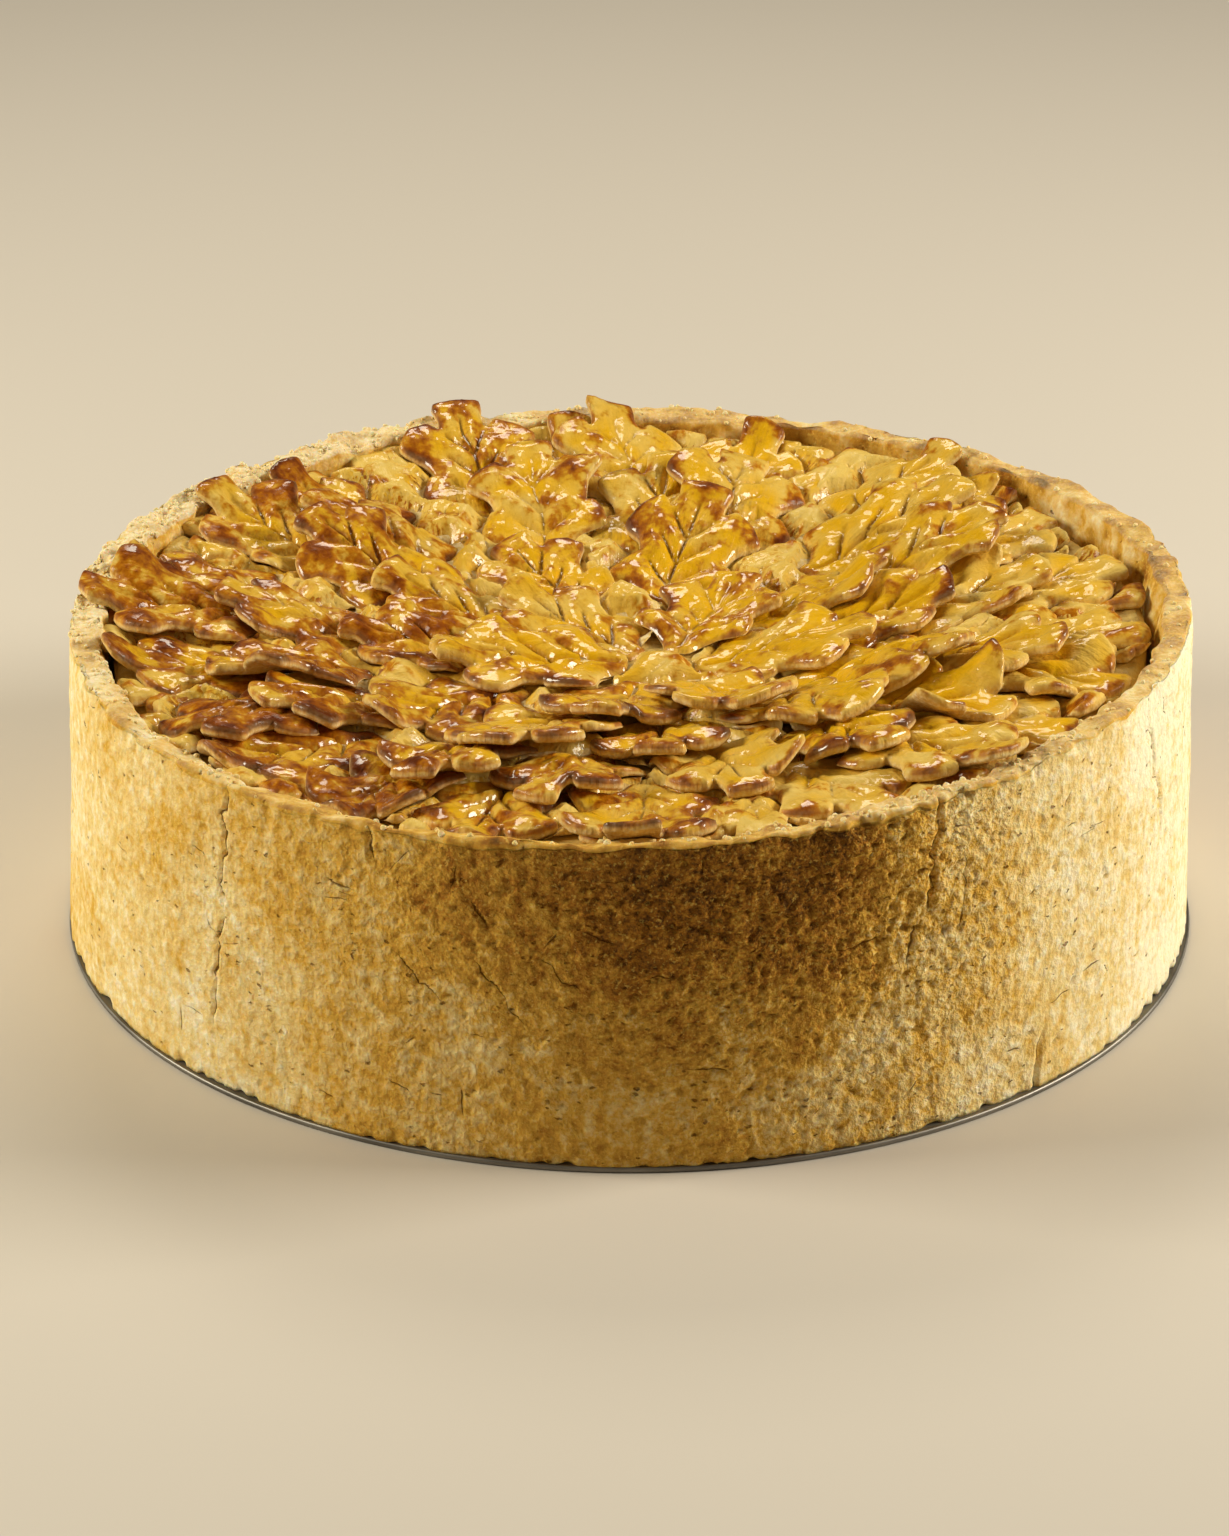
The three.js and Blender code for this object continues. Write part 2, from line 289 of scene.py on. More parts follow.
def makeStudio():
    material, tree, shader = newMaterial("matt studio paper")  # one pale tone with no shine
    setInputs(tree, shader, {
        "Base Color": linearColour(studio["floorColour"]), "Roughness": studio["floorRoughness"]})
    reach = studio["floorReach"] / mm
    corners = np.array([[-1, -1, 0], [1, -1, 0], [1, 1, 0], [-1, 1, 0]]) * reach
    floor = makePiece("floor", corners, np.array([[0, 1, 2], [0, 2, 3]]), material)
    world = scene.world or bpy.data.worlds.new("studio")
    scene.world = world
    world.use_nodes = True
    background = next(n for n in world.node_tree.nodes if n.type == "BACKGROUND")
    background.inputs["Color"].default_value = linearColour(studio["worldColour"])
    background.inputs["Strength"].default_value = studio["worldStrength"]
    for name, (azimuth, elevation, distance), size, watts, hexText in studio["softboxes"]:
        data = bpy.data.lights.new(name, "AREA")
        data.size = size
        data.energy = watts
        data.color = linearColour(hexText)[:3]
        lamp = addObject(name, data)
        turn, rise = math.radians(azimuth), math.radians(elevation)
        away = Vector((math.cos(turn) * math.cos(rise), math.sin(turn) * math.cos(rise), math.sin(rise)))
        lamp.location = away * distance + Vector((0, 0, studio["aimHeight"]))
        lamp.rotation_euler = away.to_track_quat("Z", "Y").to_euler()
    scene.view_settings.view_transform = "Standard"


makeCamera()
makeStudio()
print("camera and studio ready")


# baked crust: wall, rim and the seat under the lid

crust = {
    "footRadius": 122.3, "rimRadius": 119.6, "rimHeight": 71, "rimWall": 6,
    "seatHeight": 53.5, "seatRadius": 111.5, "foot": 1.2, "lipRadius": 1.1, "innerLipRadius": 1.6,
    "sway": [(1, 2.2, 20), (2, 1.5, -23)],  # waves round the rim, rise mm, high at degrees
    "thickAt": 145, "thickSpread": 42, "thickExtra": 2.6,
    "slope": 0.08, "frontSlope": 0.34, "frontAt": -95, "frontSpread": 48,  # the front of the rim falls inwards
    "meal": 0.15, "mealier": [(150, 50, 0.85), (-60, 20, 0.6)],  # torn rim: degrees, spread and share
    "columns": 1000, "crowding": 0.9, "crowdAt": -85, "crowdSpread": 75,
    "wallRows": 98, "lipRows": 6, "topRows": 11, "innerLipRows": 5, "innerRows": 14,
    "waves": [(45, 11), (17, 12), (7, 13), (3.4, 14), (2.0, 15)],  # wavelength mm and seed
    "pits": 950, "pitLength": (0.4, 1.1), "pitWidth": (0.32, 0.5), "pitDepth": (0.25, 0.8),
    "pitHeight": (3, 68), "pitsAt": -64, "pitsSpread": 36,
    "hairs": 110, "hairHeight": (6, 66), "hairRun": (2, 7), "hairDepth": (0.25, 0.7), "hairWidth": 0.34,
    "cracks": [  # degrees and height at the low and the high end, depth and half width mm
        (-133.8, 14, -132.4, 41, 1.3, 0.4), (-132.6, 40, -131.3, 70, 1.2, 0.4),
        (-61.5, 48, -60.2, 75, 1.8, 0.5), (-48.8, 0, -47.4, 13, 1.6, 0.45),
        (-24.5, 36, -28.6, 70, 1.4, 0.45), (-114.4, 61, -115.2, 67, 1.2, 0.5),
        (-104.6, 44, -99.8, 31, 0.5, 0.35), (-98.4, 45, -94.8, 38.5, 0.6, 0.35),
        (-112.5, 43, -108.0, 33, 0.7, 0.35), (-119.5, 55, -116.8, 53.5, 0.9, 0.45),
        (-104.8, 56, -103.2, 51, 0.9, 0.4), (-63.5, 38, -62.0, 50, 0.5, 0.4),
        (-57.5, 42, -57.0, 60, 0.8, 0.4), (-85.0, 22.5, -81.5, 21.5, 1.3, 0.6),
        (-71.0, 44, -66.0, 45, 0.8, 0.4), (-42.0, 52, -39.5, 52.5, 1.2, 0.5),
    ],
    "crackStep": 1.8, "crackMargin": (6, 5), "crackLine": 1.4,
    "crackJag": (0.04, 14),  # as a share of the run, and the longest run it counts
    "proudAt": -66.5, "proudSpread": 6, "proud": 1.3,  # a slab of wall that stands out beside its crack
    "crumblyFrom": -73, "crumblyRise": 31, "crumblyTo": -64, "crumblyFall": 11,  # where it broke off the tin
    "caughtAt": -77, "caughtRise": 29, "caughtFall": (3, 21), "caughtHeight": (14, 60),  # where it browned
    "paintedLight": [(-20, 27, 1.05), (-165, 34, 0.4)],  # painted light: the wall is paler on the sides that face the side lamps; degrees, spread and share
    "seed": 3,
}


def rimRise(angles):
    return sum(rise * np.cos(waves * (angles - math.radians(high))) for waves, rise, high in crust["sway"])


def rimThickness(angles):
    return crust["rimWall"] + crust["thickExtra"] * around(angles, crust["thickAt"], crust["thickSpread"])


def crumbliness(angles):
    extra = (share * around(angles, at, spread) for at, spread, share in crust["mealier"])
    return np.clip(sum(extra, crust["meal"]), 0, 1)


def columnAngles():  # closer together at the front, where the wall is rough
    even = np.linspace(-math.pi, math.pi, 6 * crust["columns"])
    crowd = np.exp(-(angleFrom(even, crust["crowdAt"]) / crust["crowdSpread"]) ** 4)
    often = np.cumsum(1 + crust["crowding"] * crowd)
    share = (often - often[0]) / (often[-1] - often[0])
    return np.interp(np.linspace(0, 1, crust["columns"], endpoint=False), share, even)


def crustRows(angles):  # radius, height and outward direction of every row of points, for all columns
    c = crust
    top = c["rimHeight"] + rimRise(angles)
    outer, inner = np.full_like(angles, c["rimRadius"]), c["rimRadius"] - rimThickness(angles)
    edge = np.c_[outer * np.cos(angles), outer * np.sin(angles), 0 * angles]
    lip = c["lipRadius"] * np.clip(1 + 0.9 * softNoise(edge, 7, 61), 0.4, 2)
    innerLip = c["innerLipRadius"]
    slope = c["slope"] + c["frontSlope"] * around(angles, c["frontAt"], c["frontSpread"])
    rows = []
    for up in np.linspace(0, 1, c["wallRows"]):
        radius = c["footRadius"] + (c["rimRadius"] - c["footRadius"]) * up
        rows.append((np.full_like(angles, radius), c["foot"] + (top - lip - c["foot"]) * up, 1.0, 0.0))
    for bend in np.linspace(0, math.pi / 2, c["lipRows"] + 1)[1:]:
        out, rise = math.cos(bend), math.sin(bend)
        rows.append((outer - lip * (1 - out), top - lip * (1 - rise), out, rise))
    for across in np.linspace(0, 1, c["topRows"] + 1)[1:]:
        radius = (outer - lip) * (1 - across) + (inner + innerLip) * across
        rows.append((radius, top - slope * (outer - lip - radius), 0.0, 1.0))
    inside = top - slope * (outer - lip - inner - innerLip)
    for bend in np.linspace(0, math.pi / 2, c["innerLipRows"] + 1)[1:]:
        out, rise = math.sin(bend), math.cos(bend)
        rows.append((inner + innerLip * (1 - out), inside - innerLip * (1 - rise), -out, rise))
    for down in np.linspace(0, 1, c["innerRows"] + 1)[1:]:
        radius = inner + (c["seatRadius"] - inner) * down
        height = (inside - innerLip) * (1 - down) + c["seatHeight"] * down
        rows.append((radius, height, -1.0, 0.1))
    radius, height, out, rise = zip(*rows)
    return np.stack(radius), np.stack(height), np.array(out)[:, None], np.array(rise)[:, None]


def carvePits(fields, angles, height, draw):  # small dents, most of them short and level
    c = crust
    for _ in range(c["pits"]):
        at, up = draw.uniform(-180, 180), draw.uniform(*c["pitHeight"])
        gathered = 0.3 + 0.7 * bell(at - c["pitsAt"], c["pitsSpread"])
        length, width = draw.uniform(*c["pitLength"]), draw.uniform(*c["pitWidth"])
        sunk = draw.uniform(*c["pitDepth"]) * (0.35 + 0.65 * draw.random())
        lean = draw.normal(0.15, 0.45) if draw.random() < 0.55 else draw.uniform(0, math.pi)
        if draw.random() > gathered:
            continue
        across = np.radians(angleFrom(angles, at)) * c["rimRadius"]
        columns = np.where(np.abs(across) < 3 * length + 1)[0]
        rows = np.where(np.abs(height[:c["wallRows"], columns[0]] - up) < 3 * length + 1)[0]
        patch = np.ix_(rows, columns)
        x, y = across[columns][None], height[patch] - up
        along = x * math.cos(lean) + y * math.sin(lean)
        aside = -x * math.sin(lean) + y * math.cos(lean)
        bowl = np.exp(-((along / length) ** 2 + (aside / width) ** 2) ** 1.3)
        fields["depth"][patch] -= sunk * bowl
        # the pit share also darkens the dents in the shader: painted shade
        fields["pit"][patch] = np.maximum(fields["pit"][patch], bowl * min(1, sunk / 0.5))


def carveCrack(fields, angles, heights, start, end, sunk, width, draw):  # a jagged split with raised lips
    c, radius = crust, crust["rimRadius"]
    first = np.array([math.radians(start[0]) * radius, start[1]])
    last = np.array([math.radians(end[0]) * radius, end[1]])
    run = np.linalg.norm(last - first)
    count = max(int(run / c["crackStep"]), 3)
    steps = np.linspace(0, 1, count + 1)[:, None]
    jag = c["crackJag"][0] * min(run, c["crackJag"][1])
    path = first + (last - first) * steps + draw.normal(0, jag, (count + 1, 2)) * (steps > 0)
    x = ((angles - math.radians(start[0]) + math.pi) % (2 * math.pi) - math.pi) * radius + first[0]
    aside, above = c["crackMargin"]
    columns = np.where(np.abs(x - (first[0] + last[0]) / 2) < abs(last[0] - first[0]) / 2 + aside)[0]
    low, high = min(start[1], end[1]) - above, max(start[1], end[1]) + above
    rows = np.where((heights.mean(1) > low) & (heights.mean(1) < high))[0]
    if not len(rows) or not len(columns):
        return
    patch, shape = np.ix_(rows, columns), (len(rows), len(columns))
    spots = np.stack([np.broadcast_to(x[columns], shape), heights[patch]], -1).reshape(-1, 2)
    broken = draw.uniform(0.25, 1.0, count + 1)  # a crack comes and goes along its run
    nearest, share, i = distanceTo(spots, path[:-1], path[1:])
    side = np.sign(turnOf(path[i], path[i + 1], spots))
    along = (i + share) / count
    tapered = np.minimum(1, 5 * np.minimum(along + 0.05, 1.05 - along))
    strength = tapered * (broken[i] * (1 - share) + broken[i + 1] * share)
    split = bell(nearest, width) * strength
    lips = 0.15 * bell(nearest - 2.2 * width, width) * strength
    fields["depth"][patch] += (lips * min(sunk, 1) - sunk * split).reshape(shape)
    nearest, strength, side = nearest.reshape(shape), strength.reshape(shape), side.reshape(shape)
    # these fields let the shader paint a dark line of shade down the crack
    near = (nearest < c["crackLine"]) & (nearest < np.abs(fields["crackSide"][patch]))
    fields["crackSide"][patch] = np.where(near, side * nearest, fields["crackSide"][patch])
    deep = strength * min(1, 0.5 + 0.5 * sunk)
    fields["crackDeep"][patch] = np.where(near, deep, fields["crackDeep"][patch])


def crustRelief(grid, field, draw):  # how far the points stand out, with pits and cracks carved in
    c, wave, onWall, meal, rough = crust, grid["wave"], grid["onWall"], grid["meal"], grid["rough"]
    angles, height = grid["angles"], grid["height"]
    streak = field(2.6, 23, (1, 1, 0.2))
    sponge = np.clip(field(1.9, 24, (1, 1, 1.3)) - 0.26, 0, None)
    pressed = (0.06 + 0.08 * wave[17]) * streak * (1 - rough)
    crumbly = rough * (0.30 * wave[3.4] + 0.38 * wave[2.0] - 2.2 * sponge)
    depth = 0.4 * wave[45] + 0.40 * wave[17] + 0.12 * wave[7]
    depth += onWall * (pressed + crumbly + 0.04 * wave[3.4] + 0.04 * wave[2.0])
    depth += (1 - onWall) * meal * (0.6 * wave[7] + 0.9 * wave[3.4] + 0.6 * wave[2.0])  # mealy rim
    depth += (1 - onWall) * (1 - meal) * (0.6 * wave[17] + 0.5 * wave[7])  # smooth rim
    slab = np.exp(-(angleFrom(angles, c["proudAt"]) / c["proudSpread"]) ** 6)
    depth += c["proud"] * slab * smoothStep(height, 44, 70) * (grid["out"] > 0.3)
    fields = {
        "depth": depth, "pit": np.clip(2.2 * sponge, 0, 0.8) * rough * onWall,
        "crackSide": np.full(depth.shape, 9.0), "crackDeep": np.zeros(depth.shape),  # 9: no crack near
    }
    carvePits(fields, angles, height, draw)
    for low, lowHeight, high, highHeight, sunk, width in c["cracks"]:
        carveCrack(fields, angles, height, (low, lowHeight), (high, highHeight), sunk, width, draw)
    for _ in range(c["hairs"]):  # fine cracks, about one in three upright
        at, up = draw.uniform(-180, 180), draw.uniform(*c["hairHeight"])
        turn = draw.uniform(-1, 1) ** 3 * 1.5 + (math.pi / 2 if draw.random() < 0.3 else 0)
        run = draw.uniform(*c["hairRun"])
        end = (at + math.degrees(run * math.cos(turn) / c["rimRadius"]), up + run * math.sin(turn))
        carveCrack(fields, angles, height, (at, up), end, draw.uniform(*c["hairDepth"]), c["hairWidth"], draw)
    return fields


def crustBake(grid, bulges, below):  # how brown each point is, with painted light on the lamp sides and a little painted shade at the front, and how far the pale crumb shows
    c, wave, onWall, onTop, meal = crust, grid["wave"], grid["onWall"], grid["onTop"], grid["meal"]
    angles, height, out = grid["angles"], grid["height"], grid["out"]
    past = angleFrom(angles, c["caughtAt"])
    caught = smoothStep(height, *c["caughtHeight"]) * bell(np.minimum(past, 0), c["caughtRise"])
    caught = caught * (1 - smoothStep(past, *c["caughtFall"]))
    # painted light: paler on the two sides of the wall that face the side lamps
    paintedLight = sum(share * around(angles, at, spread) for at, spread, share in c["paintedLight"])
    front = around(angles, -100, 42)
    # the 0.02 share near -72 degrees is a little painted shade on the front of the wall
    bake = 0.34 + 0.09 * wave[45] + 0.12 * wave[17] + 0.02 * around(angles, -72, 34)
    bake = bake + 0.50 * caught - 0.26 * paintedLight * onWall
    low = around(angles, -98, 16) * (1 - smoothStep(height, 16, 40))  # low down at the front
    bake = bake + 0.03 * low * onWall
    bake = bake + (out < -0.3) * (0.06 + 0.26 * bulges) * (1.15 - meal)  # inside of the rim
    bake = bake + (1 - onWall) * onTop * (0.2 * around(angles, 0, 50) + 0.20 * wave[7] + 0.16 * bulges)
    bake = bake + 0.05 * front * bell(below, 1.6) * (out > -0.1) - 0.40 * (1 - onWall) * caught
    toasted = smoothStep(wave[7] - 0.3 * wave[17], 0.05, 0.5)  # spots on the smooth part of the rim
    bake = bake + 0.2 * (1 - onWall) * (1 - meal) * toasted
    return bake, onTop * np.clip((0.2 + 0.7 * meal) * (1 - 0.9 * front), 0, 1)


def makeCrust(material):
    c = crust
    draw = np.random.default_rng(c["seed"])
    angles = columnAngles()
    radius, height, out, rise = crustRows(angles)
    shape = radius.shape
    spots = roundPoints(radius, angles, height).reshape(-1, 3)

    def field(size, seed, stretch=(1, 1, 1)):
        return softNoise(spots * stretch, size, seed).reshape(shape)

    broken = np.exp(-(np.minimum(angleFrom(angles, c["crumblyFrom"]), 0) / c["crumblyRise"]) ** 2
                    - (np.maximum(angleFrom(angles, c["crumblyTo"]), 0) / c["crumblyFall"]) ** 2)
    grid = {
        "angles": angles, "height": height, "out": out,
        "wave": {size: field(size, seed) for size, seed in c["waves"]},
        "onWall": (np.arange(shape[0]) < c["wallRows"]).astype(float)[:, None] * np.ones(shape),
        "onTop": (rise > 0.5) * np.ones(shape),
        "meal": np.broadcast_to(crumbliness(angles), shape),
        "rough": (0.14 + 0.86 * broken) * (0.45 + 0.55 * smoothStep(height, 5, 50)),
    }
    onWall, meal = grid["onWall"], grid["meal"]
    fields = crustRelief(grid, field, draw)
    depth = fields.pop("depth")
    chips = field(3.2, 31, (1, 1, 0.01))
    atFoot = bell(height - c["foot"], 1.6) * onWall
    bulges = field(11, 33, (1, 1, 0.5)) + 0.6 * field(5, 34)
    radius = radius + depth * out - atFoot * (0.05 + 1.3 * np.clip(chips, 0, 1)) + 1.1 * bulges * (out < -0.3)
    height = height + depth * rise
    torn = field(9, 37, (1, 1, 0)) + 0.6 * field(3.6, 38, (1, 1, 0))
    below = c["rimHeight"] + rimRise(angles) - height
    height += torn * (0.4 + 0.9 * meal) * (1 - smoothStep(below, 0.5, 6))
    chipped = np.clip(field(4.5, 39, (1, 1, 0.6)) - 0.1, 0, 1) * (0.5 + 0.9 * meal)
    radius -= 2.2 * chipped * bell(below, 2.4) * (out > 0.05)
    height[0] = c["foot"] + 0.05 + 0.5 * np.clip(chips[0], 0, 1)
    points = roundPoints(radius, angles, height)
    fields["bake"], fields["pale"] = crustBake({**grid, "height": height}, bulges, below)
    fields["meal"] = grid["onTop"] * meal * (height > 66)
    fields["rough"] = grid["rough"] * onWall
    count, seam = c["columns"], c["wallRows"]
    foot, seat = [[0, 0, c["foot"] + 0.05]], [[0, 0, c["seatHeight"]]]
    pieces = []
    for name, first, last, apex in (("crustWall", 0, seam, foot), ("crustRim", seam - 1, shape[0], seat)):
        part = np.concatenate([points[first:last].reshape(-1, 3), apex])
        over = name == "crustRim"  # the rim closes over its last row, the wall under its first
        ring = np.arange(count) + (len(part) - 1 - count if over else 0)
        faces = np.concatenate([gridFaces(last - first, count), fanFaces(ring, len(part) - 1, over)])
        attributes = {key: np.append(values[first:last], 0) for key, values in fields.items()}
        piece = makePiece(name, part, faces, material, attributes)
        settlePiece(piece, "crust", "crust")
        pieces.append(piece)
    return pieces


def crustMaterial():  # shortcrust baked against a tin: dry and mealy, golden, browner where it caught
    material, tree, shader = newMaterial("baked shortcrust pastry")
    coordinates = addNode(tree, "ShaderNodeTexCoord").outputs["Object"]
    patches = noise(tree, coordinates, 13, Detail=5.0, Roughness=0.6)
    streaks = noise(tree, stretched(tree, coordinates, (1, 1, 0.22)), 3.2, Detail=3.0)
    grain = noise(tree, coordinates, 0.75, Detail=2.0, Roughness=0.6)  # coarser than real meal, to show
    fleck = noise(tree, coordinates, 0.8, Detail=1.0, Lacunarity=2.3)
    clouds = noise(tree, coordinates, 3.6, Detail=3.0)
    flakes = noise(tree, coordinates, 2.4, Detail=4.0, Roughness=0.52)
    bake, pit, pale, rough, crackSide, crackDeep = readAttributes(
        tree, "bake", "pit", "pale", "rough", "crackSide", "crackDeep")
    strength = remap(tree, rough, (0.0, 1.0), (0.2, 1.3))
    bend = noise(tree, coordinates, 1.6, output=1)
    bent = addNode(tree, "ShaderNodeVectorMath", {0: bend, 1: (1.8 * mm,) * 3, 2: coordinates},
                   operation="MULTIPLY_ADD").outputs[0]
    holes = cells(tree, stretched(tree, bent, (1, 1, 1.9)), 2.2)
    drawn = addNode(tree, "ShaderNodeSeparateColor", {0: holes[1]}).outputs
    chosen = remap(tree, plusShares(tree, drawn[0], (rough, 0.42)), (0.94, 0.99))
    hole = remap(tree, plusShares(tree, holes[0], (drawn[1], 0.2)), (0.20, 0.38), (1.0, 0.0))
    # a thin dark line down each crack: painted shade
    jagged = combine(tree, "ADD", plusShares(tree, crackSide, (clouds, 0.9)), -0.45)
    jagged = plusShares(tree, combine(tree, "ABSOLUTE", jagged), (crackDeep, -0.36))
    line = remap(tree, jagged, (-0.18, -0.02), (1.0, 0.0))
    hollow = combine(tree, "MAXIMUM", combine(tree, "MULTIPLY", hole, chosen), line)
    speck = combine(tree, "MULTIPLY", combine(tree, "ADD", grain, -0.5), strength)
    # painted light and shade: the raised flakes are paler and the hollows between them darker
    raised = combine(tree, "ADD", flakes, -0.5)
    tone = plusShares(tree, bake, (patches, 0.38), (streaks, 0.22), (clouds, 0.25))
    tone = plusShares(tree, tone, (speck, -0.7), (raised, -0.75))
    tone = combine(tree, "ADD", tone, -0.42)
    body = ramp(tree, tone, (0.02, "#f7ecca"), (0.22, "#ecd292"), (0.46, "#d9a948"), (0.74, "#a8722c"),
                (1.0, "#604022"))
    crumb = ramp(tree, grain, (0.3, "#e4c688"), (0.52, "#f2e0b6"), (0.7, "#fbf3de"))
    worn = remap(tree, patches, (0.35, 0.6), (1.0, 0.7))
    colour = blend(tree, combine(tree, "MULTIPLY", pale, worn), body, crumb)
    colour = blend(tree, remap(tree, fleck, (0.60, 0.72), (0.0, 0.5)), colour, "#efcd6c")
    # painted shade: the dents, the small holes and the lines down the cracks are darkened
    colour = blend(tree, combine(tree, "MULTIPLY", pit, 0.4), colour, "#663808")
    colour = blend(tree, combine(tree, "MULTIPLY", hollow, 0.7), colour, "#6a3e0c")
    pores = combine(tree, "MULTIPLY", cells(tree, coordinates, 1.1)[0], 0.35)
    relief = plusShares(tree, pores, (grain, 0.45), (flakes, 2.1))
    relief = plusShares(tree, combine(tree, "MULTIPLY", relief, strength), (streaks, 0.4), (hollow, -0.6))
    setInputs(tree, shader, {
        "Base Color": colour, "Roughness": 0.8, "Specular IOR Level": 0.0,
        "Normal": bump(tree, relief, 0.9, 1.1),
        "Subsurface Weight": 0.32, "Subsurface Scale": 1.2 * mm,  # light goes a little way into the crumb
        "Subsurface Radius": (1.0, 0.5, 0.2),
    })
    return material


crustFinish = crustMaterial()
crustPieces = makeCrust(crustFinish)
print("crust ready:", [len(piece.data.polygons) for piece in crustPieces], "triangles")


# steel base of the tin

tinBase = {"radius": 123, "thickness": 1.2, "sides": 240, "bead": 0.35, "beadSteps": 7}


def tinMaterial():  # dull grey, brushed in rings by the press
    material, tree, shader = newMaterial("rolled tin-plated steel")
    coordinates = addNode(tree, "ShaderNodeTexCoord").outputs["Object"]
    rings = addNode(tree, "ShaderNodeTexWave", {  # drawn coarser than the brushing, which is too fine to see
        "Vector": coordinates, "Scale": 1 / (6.0 * mm), "Distortion": 1.5, "Detail": 3.0,
    }, wave_type="RINGS", rings_direction="Z").outputs[1]
    stain = noise(tree, coordinates, 18, Detail=4.0)
    setInputs(tree, shader, {
        "Base Color": ramp(tree, stain, (0.3, "#6e6a65"), (0.7, "#98938b")), "Metallic": 1.0,
        "Roughness": remap(tree, rings, (0.0, 1.0), (0.45, 0.62)), "Normal": bump(tree, rings, 0.1, 0.1),
    })
    return material


def makeTinBase():
    t = tinBase
    bends = np.linspace(-math.pi / 2, math.pi / 2, t["beadSteps"])
    profile = [(t["radius"] - t["bead"] * 2, 0.0)]
    for bend in bends:
        inset = t["bead"] * (1 - math.cos(bend))
        profile.append((t["radius"] - inset, t["thickness"] / 2 * (1 + math.sin(bend))))
    profile.append((t["radius"] - t["bead"] * 2, t["thickness"]))
    angles = np.linspace(0, 2 * math.pi, t["sides"], endpoint=False)
    rows = [np.array([[r * math.cos(a), r * math.sin(a), z] for a in angles]) for r, z in profile]
    points, faces = closeDisc(rows, t["thickness"], 0)
    settlePiece(makePiece("tinBaseDisc", points, faces, tinMaterial()), "steel", "tin_base")


makeTinBase()
print("tin base ready")


# leaves: one outline, laid out by the same draws as the solids, each with its own relief

leaf = {
    "length": 39, "stemThickness": 1.5, "thickness": 3.0, "stemHalfWidth": 0.075, "notchDepth": 0.25,
    "shoulder": 0.92,
    "lobes": [  # place on the midrib, angle, reach and half width, in leaf lengths
        (0.22, 74, 0.36, 0.125), (0.44, 44, 0.46, 0.135), (0.62, 0, 0.38, 0.145),
    ],
    "cornerCuts": (0.14, 0.25, 0.25), "slack": 2e-4,
    "edgeRound": 0.9, "puff": 1.1, "puffReach": 3.0, "sink": 0.3, "veinDepth": 1.4, "veinWidth": 0.55,
    "veins": [(0.06, 0, 0.76), (0.20, 46, 0.22), (0.36, 36, 0.24), (0.56, 34, 0.20)],  # from, angle, run
    "edgeRows": (0.2, 0.5, 1.0), "veinRows": (0, 0.4, -0.4, 0.85, -0.85),  # rows of points beside them, mm
    "bulge": 0.15, "tuck": 0.3, "clear": 0.05,  # the side goes out at half height and in at its foot, mm
    "grid": 0.8, "underGrid": 3.5,
}
bed = {
    "seed": 41, "reach": 112.2, "overReach": 118,
    "turnSpread": 5, "stemSpread": 3.5, "headingSpread": 16, "lengthSpread": 0.1,
    "cupSpread": 0.8, "curlSpread": 0.9,
    "rings": [  # leaves, stem radius, turn, middle of the ring
        (23, 76, 7.7, (-1, 1)), (17, 54, 6, (0, -1)), (11, 31, 14, (3, -5)), (6, 9, 3, (6, -8)),
    ],
    "lookSeed": 17, "half": 110, "heart": (8, 0), "heartSpread": 55,  # for the looks of the leaves
    "mapHalf": 150, "mapSteps": 12, "mapSlope": 1.1,  # the map of the room under the leaves, mm
}


def drawer(seed):  # the same run of draws as the bed of solids was laid with
    state = [seed]

    def draw(spread):
        state[0] = (state[0] + 0x6D2B79F5) & 0xffffffff
        t = state[0]
        t = (t ^ (t >> 15)) * (t | 1) & 0xffffffff
        t ^= (t + ((t ^ (t >> 7)) * (t | 61) & 0xffffffff)) & 0xffffffff
        return spread * (2 * ((t ^ (t >> 14)) & 0xffffffff) / 4294967296 - 1)
    draw(1)
    return draw


def placeLeaf(heart, stem, angle, heading, length):
    x, y = heart[0] + stem * math.cos(angle), heart[1] + stem * math.sin(angle)
    return {"x": x, "y": y, "heading": heading, "length": length}


def layOut():
    draw = drawer(bed["seed"])
    places = []
    for count, stemRadius, turn, heart in bed["rings"]:
        half = math.ceil(count / 2)
        for i in range(count):
            place = i // half + 2 * (i % half)
            angle = math.radians(turn + 360 * place / count + draw(bed["turnSpread"]))
            length = leaf["length"] * (1 + draw(bed["lengthSpread"]))
            reach = bed["reach"] if i < half else bed["overReach"]  # the second round may lie over the rim
            stem = min(stemRadius + draw(bed["stemSpread"]), reach - length)
            heading = angle + math.radians(draw(bed["headingSpread"]))
            draw(bed["cupSpread"])  # the cup and the curl are in the solids already
            draw(bed["curlSpread"])
            places.append(placeLeaf(heart, stem, angle, heading, length))
    return places


def leafCorners():  # corners of the solid leaf's outline, and its midrib points, in leaf lengths
    ribs = [np.array([lobe[0], 0.0]) for lobe in leaf["lobes"]]
    side = [(np.array([0.0, leaf["stemHalfWidth"]]), 0)]
    for index, (_, degrees, reach, halfWidth) in enumerate(leaf["lobes"]):
        along = direction(degrees)
        across = np.array([-along[1], along[0]]) * halfWidth
        middle = ribs[index] + along * leaf["shoulder"] * reach
        rear = middle + across
        before, beforeRib = side[-1]
        for share, rib in ((0.3, beforeRib), (0.7, index)):
            notch = before + (rear - before) * share
            side.append((notch + (ribs[rib] - notch) * leaf["notchDepth"], rib))
        side.append((rear, index))
        side.append((ribs[index] + along * reach, index))
        if degrees > 0:
            side.append((middle - across, index))
    half = np.array([point for point, _ in side])
    outline = np.concatenate([half[:-1] * [1, -1], half[::-1]])
    return outline, np.array(ribs)


